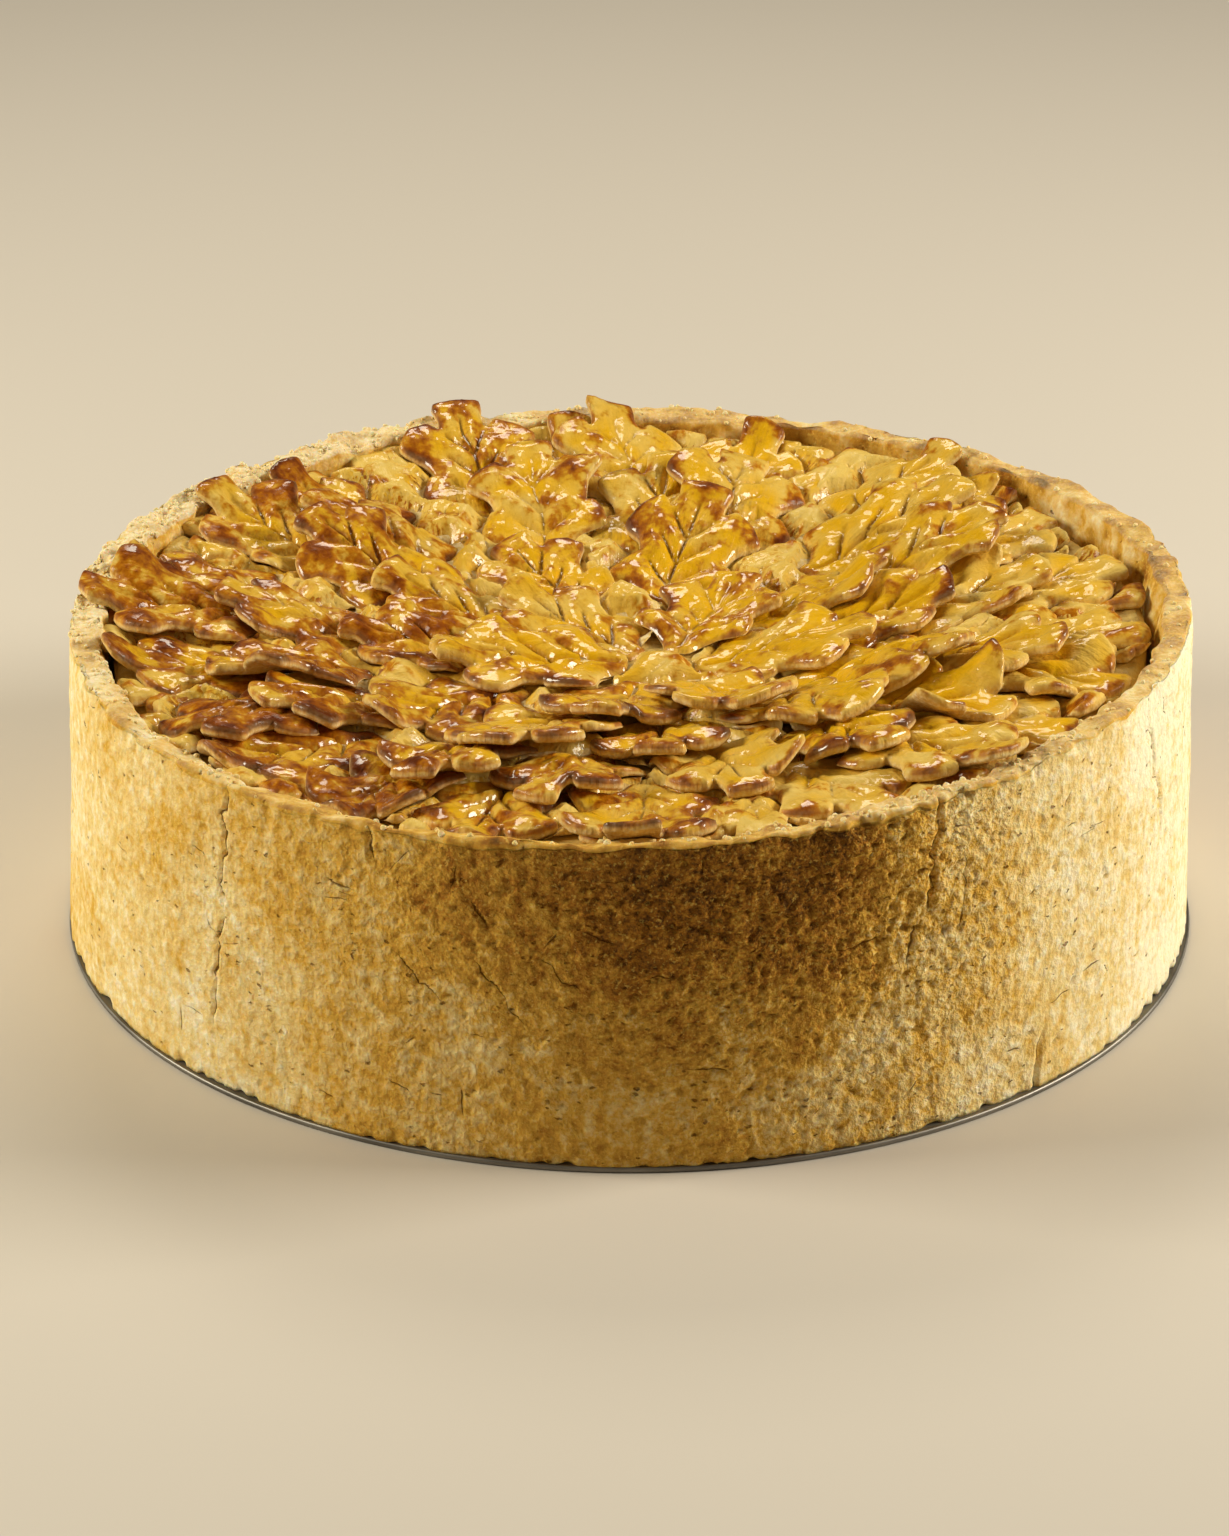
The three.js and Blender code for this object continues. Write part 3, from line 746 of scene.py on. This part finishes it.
def roundOff(outline, shares):  # cuts the corners of a closed outline, once for each share of its edges
    for cut in shares:
        after = np.roll(outline, -1, axis=0)
        near, far = (1 - cut) * outline + cut * after, cut * outline + (1 - cut) * after
        outline = np.stack([near, far], 1).reshape(-1, 2)
    return outline


def evenSteps(outline, spacing):
    closed = np.concatenate([outline, outline[:1]])
    run = np.concatenate([[0], np.cumsum(np.linalg.norm(np.diff(closed, axis=0), axis=1))])
    stops = np.linspace(0, run[-1], int(run[-1] / spacing) + 1)[:-1]
    return np.stack([np.interp(stops, run, closed[:, k]) for k in range(2)], 1)


def insideOf(points, outline):
    after = np.roll(outline, -1, axis=0)
    inside = np.zeros(len(points), bool)
    for (ax, ay), (bx, by) in zip(outline, after):
        if ay != by:
            crosses = (ay > points[:, 1]) != (by > points[:, 1])
            inside ^= crosses & (points[:, 0] < ax + (points[:, 1] - ay) * (bx - ax) / (by - ay))
    return inside


def fillPlan(outline, inner):  # triangles of the outline with some points inside it
    spots = np.concatenate([outline, inner])
    count = len(outline)
    edges = [(i, (i + 1) % count) for i in range(count)]
    _, _, faces, origins, _, _ = delaunay_2d_cdt([Vector(p) for p in spots], edges, [], 1, 1e-7)
    source = np.array([origin[0] if origin else -1 for origin in origins])
    faces = source[np.array([f for f in faces if len(f) == 3])]
    faces = faces[(faces >= 0).all(1)]
    a, b, c = (spots[faces[:, k]] for k in range(3))
    turned = turnOf(a, b, c) < 0
    faces[turned] = faces[turned][:, ::-1]
    return spots, faces


def hexGrid(spacing):
    rows = np.arange(-0.7, 0.7, spacing * math.sqrt(3) / 2)
    return np.array([(x + spacing / 2 * (i % 2), y) for i, y in enumerate(rows)
                     for x in np.arange(-0.1, 1.1, spacing)])


def springMap(corners, spots):  # linear map from corner heights to a smooth sheet close to them
    def bend(a, b):
        r2 = ((a[:, None] - b[None]) ** 2).sum(-1) + 1e-12
        return 0.5 * r2 * np.log(r2)
    count = len(corners)
    flatPart = np.concatenate([np.ones((count, 1)), corners], 1)
    system = np.zeros((count + 3, count + 3))
    system[:count, :count] = bend(corners, corners) + leaf["slack"] * np.eye(count)
    system[:count, count:] = flatPart
    system[count:, :count] = flatPart.T
    solve = np.linalg.inv(system)[:, :count]
    return np.concatenate([bend(spots, corners), np.ones((len(spots), 1)), spots], 1) @ solve


def thinOut(points, gap):  # leaves out points that crowd an earlier one
    kept = np.empty_like(points)
    count = 0
    for point in points:
        if not count or ((kept[:count] - point) ** 2).sum(1).min() > gap ** 2:
            kept[count] = point
            count += 1
    return kept[:count]


def leafTemplate(spacing):
    corners, ribs = leafCorners()
    unit = spacing / leaf["length"]
    outline = evenSteps(roundOff(corners, leaf["cornerCuts"]), 0.85 * unit)
    after = np.roll(outline, -1, axis=0)
    tangent = after - np.roll(outline, 1, axis=0)
    tangent /= np.linalg.norm(tangent, axis=1)[:, None]
    inward = np.stack([-tangent[:, 1], tangent[:, 0]], 1)
    starts, ends = [], []
    for start, degrees, run in leaf["veins"]:
        for sign in ((1, -1) if degrees else (1,)):
            starts.append(np.array([start, 0.0]))
            ends.append(starts[-1] + run * direction(degrees, sign))
    inner = [outline + inward * inset / leaf["length"] for inset in leaf["edgeRows"]]
    for a, b in zip(starts, ends):
        run = np.linalg.norm(b - a)
        steps = np.linspace(0, 1, max(int(run / unit), 2))[:, None]
        aside = np.array([a[1] - b[1], b[0] - a[0]]) / run
        inner += [a + (b - a) * steps + aside * offset / leaf["length"] for offset in leaf["veinRows"]]
    inner.append(hexGrid(unit))
    inner = np.concatenate(inner)
    inner = inner[insideOf(inner, outline)]
    away = distanceTo(inner, outline, after)[0]
    plan, top = fillPlan(outline, thinOut(inner[away > 0.16 / leaf["length"]], 0.45 * unit))
    coarse = hexGrid(leaf["underGrid"] / leaf["length"])
    coarse = coarse[insideOf(coarse, outline)]
    away = distanceTo(coarse, outline, after)[0]
    underPlan, under = fillPlan(outline, coarse[away > 1.5 / leaf["length"]])
    edge = distanceTo(plan, outline, after)[0]
    vein, veinAlong, _ = distanceTo(plan, starts, ends)
    lobeEnd = np.zeros(len(plan))
    for start, degrees, reach, halfWidth in leaf["lobes"]:
        for sign in (1, -1):
            along = direction(degrees, sign)
            away = plan - [start, 0]
            aside = np.abs(away @ np.array([-along[1], along[0]]))
            tip = smoothStep(away @ along / reach, 0.55, 1.0) * (aside < 1.5 * halfWidth)
            lobeEnd = np.maximum(lobeEnd, tip)
    form = np.concatenate([corners, ribs])
    rim, count = len(outline), len(plan)
    rings = np.arange(rim) + np.array([[0], [count], [count + rim]])  # down the side
    a, b = rings[:-1], np.roll(rings[:-1], -1, axis=1)
    c, d = rings[1:], np.roll(rings[1:], -1, axis=1)
    side = np.concatenate([np.stack([a, c, d], -1), np.stack([a, d, b], -1)]).reshape(-1, 3)
    return {
        "plan": plan, "underPlan": underPlan, "rim": rim, "inward": inward, "form": form,
        "edge": edge, "vein": vein, "veinAlong": veinAlong, "lobeEnd": lobeEnd,
        "faces": np.concatenate([top, side, under[:, ::-1] + count + rim]),
        "flat": np.concatenate([plan, plan[:rim], plan[:rim], underPlan[rim:]]),
        "sheet": springMap(form, plan), "underSheet": springMap(form, underPlan),
    }


def toWorld(plan, place):
    turn = np.array([[math.cos(place["heading"]), math.sin(place["heading"])],
                     [-math.sin(place["heading"]), math.cos(place["heading"])]])
    return plan @ turn * place["length"] + [place["x"], place["y"]]


def growLeaf(template, place, lows, thickness, look):  # its underside follows the corner heights given
    t, length, rim, count = template, place["length"], template["rim"], len(template["plan"])
    wobble = np.stack([softNoise(np.c_[t["plan"], np.full(count, look["seed"])], 0.3, k) for k in (5, 6)], 1)
    spots = toWorld(t["plan"] + 0.02 * wobble, place)
    space = np.c_[spots, np.full(count, 13.7 * look["seed"])]
    grainwise = np.c_[t["plan"] * [0.25 * length, length], np.full(count, 7.1 * look["seed"])]

    def field(size, seed):
        return softNoise(space, size, seed)

    low = t["sheet"] @ lows
    full = thickness[0] + (thickness[1] - thickness[0]) * smoothStep(t["plan"][:, 0], 0.05, 0.55)
    edge, vein = t["edge"] * length, t["vein"] * length
    drop = np.maximum(leaf["edgeRound"] - edge, 0)
    drop = leaf["edgeRound"] - np.sqrt(np.maximum(leaf["edgeRound"] ** 2 - drop ** 2, 0))
    puff = look["puff"] * leaf["puff"] * (1 - bell(np.minimum(edge, vein), leaf["puffReach"]))
    fade = (1 - 0.6 * t["veinAlong"] ** 2) * smoothStep(edge, 0.3, 1.6)
    groove = bell(vein, leaf["veinWidth"]) * fade
    valley = 0.22 * bell(vein, 3 * leaf["veinWidth"]) * fade
    lumps = 0.50 * field(10, 41) + 0.36 * field(4.6, 42) + 0.16 * field(2.2, 47)
    lumps = (lumps + 0.10 * softNoise(grainwise, 1.6, 43)) * look["lumps"] * smoothStep(edge, 0.0, 1.5)
    top = low + full - drop + puff - leaf["sink"] * leaf["puff"]
    top = top - look["groove"] * leaf["veinDepth"] * (groove + valley) + lumps
    outside = -toWorld(t["inward"], {**place, "x": 0, "y": 0}) / length
    side = full[:rim] - leaf["edgeRound"] - leaf["sink"] * leaf["puff"]
    mid = np.c_[spots[:rim] + outside * leaf["bulge"], low[:rim] + 0.5 * side]
    foot = np.c_[spots[:rim] - outside * leaf["tuck"], low[:rim] + leaf["clear"]]
    underLow = t["underSheet"] @ lows
    inner = np.c_[toWorld(t["underPlan"][rim:], place), underLow[rim:] + leaf["clear"]]
    points = np.concatenate([np.c_[spots, top], mid, foot, inner])
    blush = np.clip(0.45 + 1.1 * field(8, 46), 0, 1.2)  # the wash gathers and browns in runs along the edges
    sun = look["bake"] + look["edge"] * (bell(edge, 1.7) * blush) + 0.2 * t["lobeEnd"] * blush
    sun = sun + 0.55 * lumps + 0.10 * (puff / leaf["puff"] - 0.6)  # what stands up browns first
    sun = sun + 0.16 * field(13, 44) + 0.10 * field(4.5, 45)
    sun = sun + look["scorch"] * smoothStep(field(9, 48), 0.3, 0.75)
    wash = np.clip(look["wash"] + 0.7 * field(8, 49) - 0.5 * lumps - 0.5 * bell(edge, 1.2), 0, 1)
    rest = len(points) - count
    sides = np.concatenate([0.3 * sun[:rim], 0.2 * sun[:rim], np.full(rest - 2 * rim, look["bake"])])
    attributes = {
        "bake": np.append(sun, sides),
        # the vein share darkens the grooves in the shader: painted shade
        "vein": np.append(groove * min(1, look["groove"]), np.zeros(rest)),
        "wash": np.append(wash, np.zeros(rest)),
        "cut": np.append(0.2 * bell(edge, 0.3), np.ones(rest)),
    }
    return points, attributes, t["flat"] * length * mm, low


def leafMaterial():  # shortcrust with egg wash: a brown, glossy skin over layers that show pale at the edge
    material, tree, shader = newMaterial("egg-washed pastry")
    coordinates = addNode(tree, "ShaderNodeTexCoord").outputs["Object"]
    plan = addNode(tree, "ShaderNodeUVMap", uv_map="plan").outputs[0]
    blotch = noise(tree, coordinates, 5.0, Detail=4.0)
    wrinkle = noise(tree, stretched(tree, plan, (0.2, 1, 1)), 1.4, Detail=3.0)
    fleck = noise(tree, coordinates, 0.9, Detail=3.0)
    mottle = noise(tree, coordinates, 1.9, Detail=3.0)
    ripple = noise(tree, coordinates, 2.6, Detail=1.0)
    bake, vein, cut, wash = readAttributes(tree, "bake", "vein", "cut", "wash")
    tone = plusShares(tree, bake, (blotch, 0.9), (wrinkle, 0.25), (mottle, 0.8))
    tone = combine(tree, "ADD", tone, -0.965)
    golden = blend(tree, wash, "#e4c366", "#e6b10c")
    brown = ramp(tree, tone, (0.3, "#d29c1e"), (0.5, "#ba740a"), (0.7, "#8f4905"), (0.95, "#622a04"))
    skin = blend(tree, remap(tree, tone, (0.16, 0.5), interpolation_type="SMOOTHSTEP"), golden, brown)
    # painted shade: darker brown down the vein grooves
    skin = blend(tree, combine(tree, "MULTIPLY", vein, 0.5), skin, "#94580e")
    layers = ramp(tree, fleck, (0.3, "#d4ac62"), (0.55, "#e8cd92"), (0.75, "#f5e6c0"))
    bare = combine(tree, "MULTIPLY", cut, remap(tree, blotch, (0.35, 0.6), (0.7, 1.0)))
    washed = remap(tree, wash, (0.1, 0.45), (0.15, 1.0))
    gloss = combine(tree, "MULTIPLY", remap(tree, tone, (0.1, 0.4), (0.65, 1.0)), washed)
    relief = plusShares(tree, wrinkle, (fleck, 0.3), (mottle, 0.7))
    setInputs(tree, shader, {
        "Base Color": blend(tree, bare, skin, layers), "Normal": bump(tree, relief, 0.7, 0.7),
        "Roughness": remap(tree, cut, (0.0, 1.0), (0.42, 0.75)), "Specular IOR Level": 0.1,
        "Coat Weight": gloss, "Coat Roughness": 0.1, "Coat Normal": bump(tree, ripple, 0.6, 0.8),
    })
    return material


def solidCorners(node, corners):  # underside heights of a solid leaf at its corners, in millimetres
    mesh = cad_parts[node].data
    points = np.empty(len(mesh.vertices) * 3)
    mesh.vertices.foreach_get("co", points)
    points = points.reshape(-1, 3) / mm
    away = np.linalg.norm(points[None, :, :2] - corners[:, None], axis=2)
    return np.array([points[near < 0.1, 2].min() for near in away])


def drawLook(number, place, draw):  # browner at the front and the left, partly browning and partly painted shade, with more wash near the middle
    front, left = -place["y"] / bed["half"], -place["x"] / bed["half"]
    paintedLight = max(front, 0) * max(-left, 0)  # painted light: the leaves at the front right are paler
    heart = bell(math.dist((place["x"], place["y"]), bed["heart"]), bed["heartSpread"])
    return {
        "seed": number, "puff": draw.uniform(0.6, 1.3), "groove": draw.choice([0.5, 1.0, 1.35]),
        "lumps": draw.uniform(0.7, 1.4),
        # browner at the front and the left: partly real browning, partly painted shade
        "bake": 0.26 + 0.14 * front + 0.38 * left + draw.normal(0, 0.06) - 0.75 * paintedLight,
        "edge": 0.50 + 0.07 * front - 0.08 * left,
        "scorch": 0.28 * max(0.1, 0.3 + 0.5 * front + 0.6 * left),
        "wash": draw.uniform(0.3, 0.8) - 0.15 * left + 0.3 * heart,
    }


def makeLeaves(material):
    template = leafTemplate(leaf["grid"])
    draw = np.random.default_rng(bed["lookSeed"])
    floorMap = np.full((2 * bed["mapHalf"],) * 2, farAway)  # lowest underside over each square millimetre
    for number, place in enumerate(layOut(), 1):
        node = f"leaf_{number:02d}"
        lows = solidCorners(node, toWorld(template["form"], place))
        points, attributes, plan, low = growLeaf(
            template, place, lows, (leaf["stemThickness"], leaf["thickness"]), drawLook(number, place, draw))
        cell = np.round(points[:len(low), :2] + bed["mapHalf"]).astype(int)
        np.minimum.at(floorMap, (cell[:, 0], cell[:, 1]), low)
        piece = makePiece(f"pastryLeaf_{number:02d}", points, template["faces"], material, attributes, plan)
        settlePiece(piece, "leaf", node)
    for _ in range(bed["mapSteps"]):  # beyond a leaf's edge the room under it opens up at a slope
        for axis, step in ((0, 1), (0, -1), (1, 1), (1, -1)):
            floorMap = np.minimum(floorMap, np.roll(floorMap, step, axis) + bed["mapSlope"])
    return floorMap


leafFinish = leafMaterial()
floorMap = makeLeaves(leafFinish)
print("leaves ready")


# lid, with an under layer of leaves on it

lid = {
    "radius": 110.4, "height": 64, "dome": -7, "under": 53.8, "rows": 64, "columns": 280,
    "firstRow": 0.012, "edgeDrop": 1.5, "edgeFrom": 0.985,
    "wave": 0.5, "waveSize": 23, "bump": 0.35, "bumpSize": 6,
    "bake": 0.12, "cut": 0.3,
}
underBed = {
    "seed": 77, "thickness": (2.2, 3.0), "lengthShare": (0.85, 1.02), "lift": 2.2, "pressed": 0.04,
    "turnSpread": 5, "outSpread": 4, "headSpread": 26,  # degrees round, mm out, degrees of heading
    "outer": {"headShare": 0.7, "pastReach": 0.8},  # the three outer rings lean on the rim
    "inner": {"headShare": 1, "pastReach": -1},
    "plain": {"bake": 0, "edge": 0.12}, "brown": {"bake": 0.08, "edge": 0.3},
    "rings": [  # leaves, stem radius, turn, middle of the ring, rise of the tips mm, lie and colour
        (26, 75, 14, (-1, 1), (1.5, 4.5), "outer", "plain"), (26, 74, 21, (-1, 1), (4, 8), "outer", "brown"),
        (26, 75, 17.5, (-1, 1), (6, 10.5), "outer", "brown"),
        (22, 61, 3, (-1, 0), (0, 1.6), "inner", "plain"), (17, 46, 0, (0, -2), (0, 1.6), "inner", "plain"),
        (12, 30, 20, (2, -4), (0, 1.6), "inner", "plain"), (7, 12, 0, (4, -7), (0, 1.6), "inner", "plain"),
        (1, -15, 20, (7, -11), (0, 1.6), "inner", "plain"),
    ],
    "step": 0.5, "gap": 0.25, "firstSeed": 100, "grid": 0.95,
}


def lidHeight(spots):
    share = np.linalg.norm(spots, axis=1) / lid["radius"]
    rise = rimRise(np.arctan2(spots[:, 1], spots[:, 0])) * share ** 2
    waves = softNoise(np.c_[spots, 0 * share], lid["waveSize"], 51)
    return lid["height"] + lid["dome"] * (1 - share ** 2) + rise + lid["wave"] * waves


def makeLid(material):
    angles = np.linspace(0, 2 * math.pi, lid["columns"], endpoint=False)
    rows = []
    for share in np.linspace(lid["firstRow"], 1, lid["rows"]):
        spots = np.stack([np.cos(angles), np.sin(angles)], 1) * share * lid["radius"]
        edge = lid["edgeDrop"] * smoothStep(share, lid["edgeFrom"], 1.0)
        bumps = lid["bump"] * softNoise(np.c_[spots, np.zeros(len(spots))], lid["bumpSize"], 52)
        rows.append(np.c_[spots, lidHeight(spots) + bumps - edge])
    rows.append(np.c_[rows[-1][:, :2], np.full(len(angles), lid["under"])])
    points, faces = closeDisc(rows[::-1], lid["height"] + lid["dome"], lid["under"])
    attributes = {key: np.full(len(points), lid[key]) for key in ("bake", "cut")}
    piece = makePiece("pastryLid", points, faces, material, attributes, points[:, :2] * mm)
    settlePiece(piece, "lid", "lid")


def roomAbove(floorMap, spots):  # height of the leaf undersides over some spots
    cell = np.floor(spots).astype(int) + bed["mapHalf"]
    part = spots - np.floor(spots)
    return sum(
        floorMap[cell[:, 0] + i, cell[:, 1] + j] * np.abs(1 - i - part[:, 0]) * np.abs(1 - j - part[:, 1])
        for i in (0, 1) for j in (0, 1))


def raiseLeaf(template, place, flat, rise, tilt, floorMap):  # only as far as the leaves over it let it
    room = roomAbove(floorMap, toWorld(template["plan"], place)) - underBed["thickness"][1]
    while True:
        lows = flat + template["form"] @ [rise, tilt]
        if rise < underBed["step"] or (template["sheet"] @ lows > room).mean() < underBed["pressed"]:
            return lows
        rise -= underBed["step"]


def makeUnderLeaves(material, floorMap):
    u = underBed
    template = leafTemplate(u["grid"])
    draw = np.random.default_rng(u["seed"])
    number = 0
    for ring, (count, stemRadius, turn, heart, rises, lie, colour) in enumerate(u["rings"], 1):
        headSpread = u["headSpread"] * u[lie]["headShare"]
        found = {key: [] for key in ("points", "faces", "plan", "bake", "vein", "wash", "cut")}
        start = 0
        for i in range(count):
            angle = math.radians(turn + 360 * i / count + draw.uniform(-u["turnSpread"], u["turnSpread"]))
            length = leaf["length"] * draw.uniform(*u["lengthShare"])
            stem = stemRadius + draw.uniform(-u["outSpread"], u["outSpread"])
            stem = min(stem, bed["reach"] + u[lie]["pastReach"] - length)
            heading = angle + math.radians(draw.uniform(-headSpread, headSpread))
            place = placeLeaf(heart, stem, angle, heading, length)
            number += 1
            look = {
                "seed": u["firstSeed"] + number, "puff": draw.uniform(0.7, 1.3),
                "groove": draw.uniform(0.3, 0.9), "lumps": 1.0,
                "bake": draw.normal(0.15, 0.05) + u[colour]["bake"], "edge": u[colour]["edge"],
                "scorch": 0.1, "wash": draw.uniform(0.0, 0.5),
            }
            flat = lidHeight(toWorld(template["form"], place)) + draw.uniform(0, u["lift"])
            rise, tilt = draw.uniform(*rises), draw.uniform(-1, 1)
            lows = raiseLeaf(template, place, flat, rise, tilt, floorMap)
            points, attributes, plan, _ = growLeaf(template, place, lows, u["thickness"], look)
            points[:, 2] = np.minimum(points[:, 2], roomAbove(floorMap, points[:, :2]) - u["gap"])
            grown = {"points": points, "faces": template["faces"] + start, "plan": plan, **attributes}
            for key, values in grown.items():
                found[key].append(values)
            start += len(points)
        joined = {key: np.concatenate(values) for key, values in found.items()}
        points, faces, plan = (joined.pop(key) for key in ("points", "faces", "plan"))
        settlePiece(makePiece(f"underLeaves_{ring}", points, faces, material, joined, plan), "leaf")


makeLid(leafFinish)
makeUnderLeaves(leafFinish, floorMap)
print("lid and under layer ready")


# crumbs on the rim

crumbs = {
    "perSquareMetre": 260000.0, "size": (0.2, 0.75), "rough": 0.35, "lump": 0.9, "bake": 0.22, "seed": 5,
    "fullTurn": 6.28, "turnSeed": 1, "sizeSeed": 2,
}


def crumbTree(material):  # lumpy grains scattered where the rim is mealy
    tree = bpy.data.node_groups.new("rimCrumbs", "GeometryNodeTree")
    tree.interface.new_socket("Geometry", in_out="INPUT", socket_type="NodeSocketGeometry")
    sockets = {}
    for name in ("crumbsPerSquareMetre", "smallest", "largest", "seed"):
        kind = "NodeSocketInt" if name == "seed" else "NodeSocketFloat"
        sockets[name] = tree.interface.new_socket(name, in_out="INPUT", socket_type=kind)
    tree.interface.new_socket("Geometry", in_out="OUTPUT", socket_type="NodeSocketGeometry")
    given = addNode(tree, "NodeGroupInput").outputs

    def put(kind, inputs=None, output=0, **settings):
        return addNode(tree, kind, inputs, **settings).outputs[output]

    meal = put("GeometryNodeInputNamedAttribute", {"Name": "meal"}, data_type="FLOAT")
    often = combine(tree, "MULTIPLY", meal, given["crumbsPerSquareMetre"])
    spots = put("GeometryNodeDistributePointsOnFaces", {
        "Mesh": given["Geometry"], "Density": often, "Seed": given["seed"]})
    grain = put("GeometryNodeMeshIcoSphere", {"Radius": 1.0, "Subdivisions": 2})
    grain = put("GeometryNodeStoreNamedAttribute", {
        "Geometry": grain, "Name": "bake", "Value": crumbs["bake"]}, data_type="FLOAT")
    turn = put("FunctionNodeRandomValue", {
        0: (0, 0, 0), 1: (crumbs["fullTurn"],) * 3, "Seed": crumbs["turnSeed"]}, data_type="FLOAT_VECTOR")
    size = put("FunctionNodeRandomValue", {
        2: given["smallest"], 3: given["largest"], "Seed": crumbs["sizeSeed"]}, 1, data_type="FLOAT")
    placed = put("GeometryNodeInstanceOnPoints", {
        "Points": spots, "Instance": grain, "Rotation": turn, "Scale": size})
    real = put("GeometryNodeRealizeInstances", {0: placed})
    lumpy = noise(tree, put("GeometryNodeInputPosition"), crumbs["lump"], output=1)
    centred = put("ShaderNodeVectorMath", {0: lumpy, 1: (0.5, 0.5, 0.5)}, operation="SUBTRACT")
    scaled = put("ShaderNodeVectorMath", {0: centred, "Scale": 2 * crumbs["rough"] * mm}, operation="SCALE")
    broken = put("GeometryNodeSetPosition", {"Geometry": real, "Offset": scaled})
    done = put("GeometryNodeSetMaterial", {"Geometry": broken, "Material": material})
    addNode(tree, "NodeGroupOutput", {0: done})
    return tree, sockets


def makeCrumbs(base, material):
    tree, sockets = crumbTree(material)
    carrier = base.copy()
    carrier.data = base.data.copy()
    scene.collection.objects.link(carrier)
    modifier = carrier.modifiers.new("crumbs", "NODES")
    modifier.node_group = tree
    values = {"crumbsPerSquareMetre": crumbs["perSquareMetre"], "smallest": crumbs["size"][0] * mm,
              "largest": crumbs["size"][1] * mm, "seed": crumbs["seed"]}
    for name, value in values.items():
        modifier[sockets[name].identifier] = value
    found = carrier.evaluated_get(bpy.context.evaluated_depsgraph_get())
    mesh = bpy.data.meshes.new_from_object(found)
    bpy.data.objects.remove(carrier)
    settlePiece(addObject("rimCrumbs", mesh), "crust")
    print("crumbs:", len(mesh.polygons), "faces")


makeCrumbs(crustPieces[1], crustFinish)
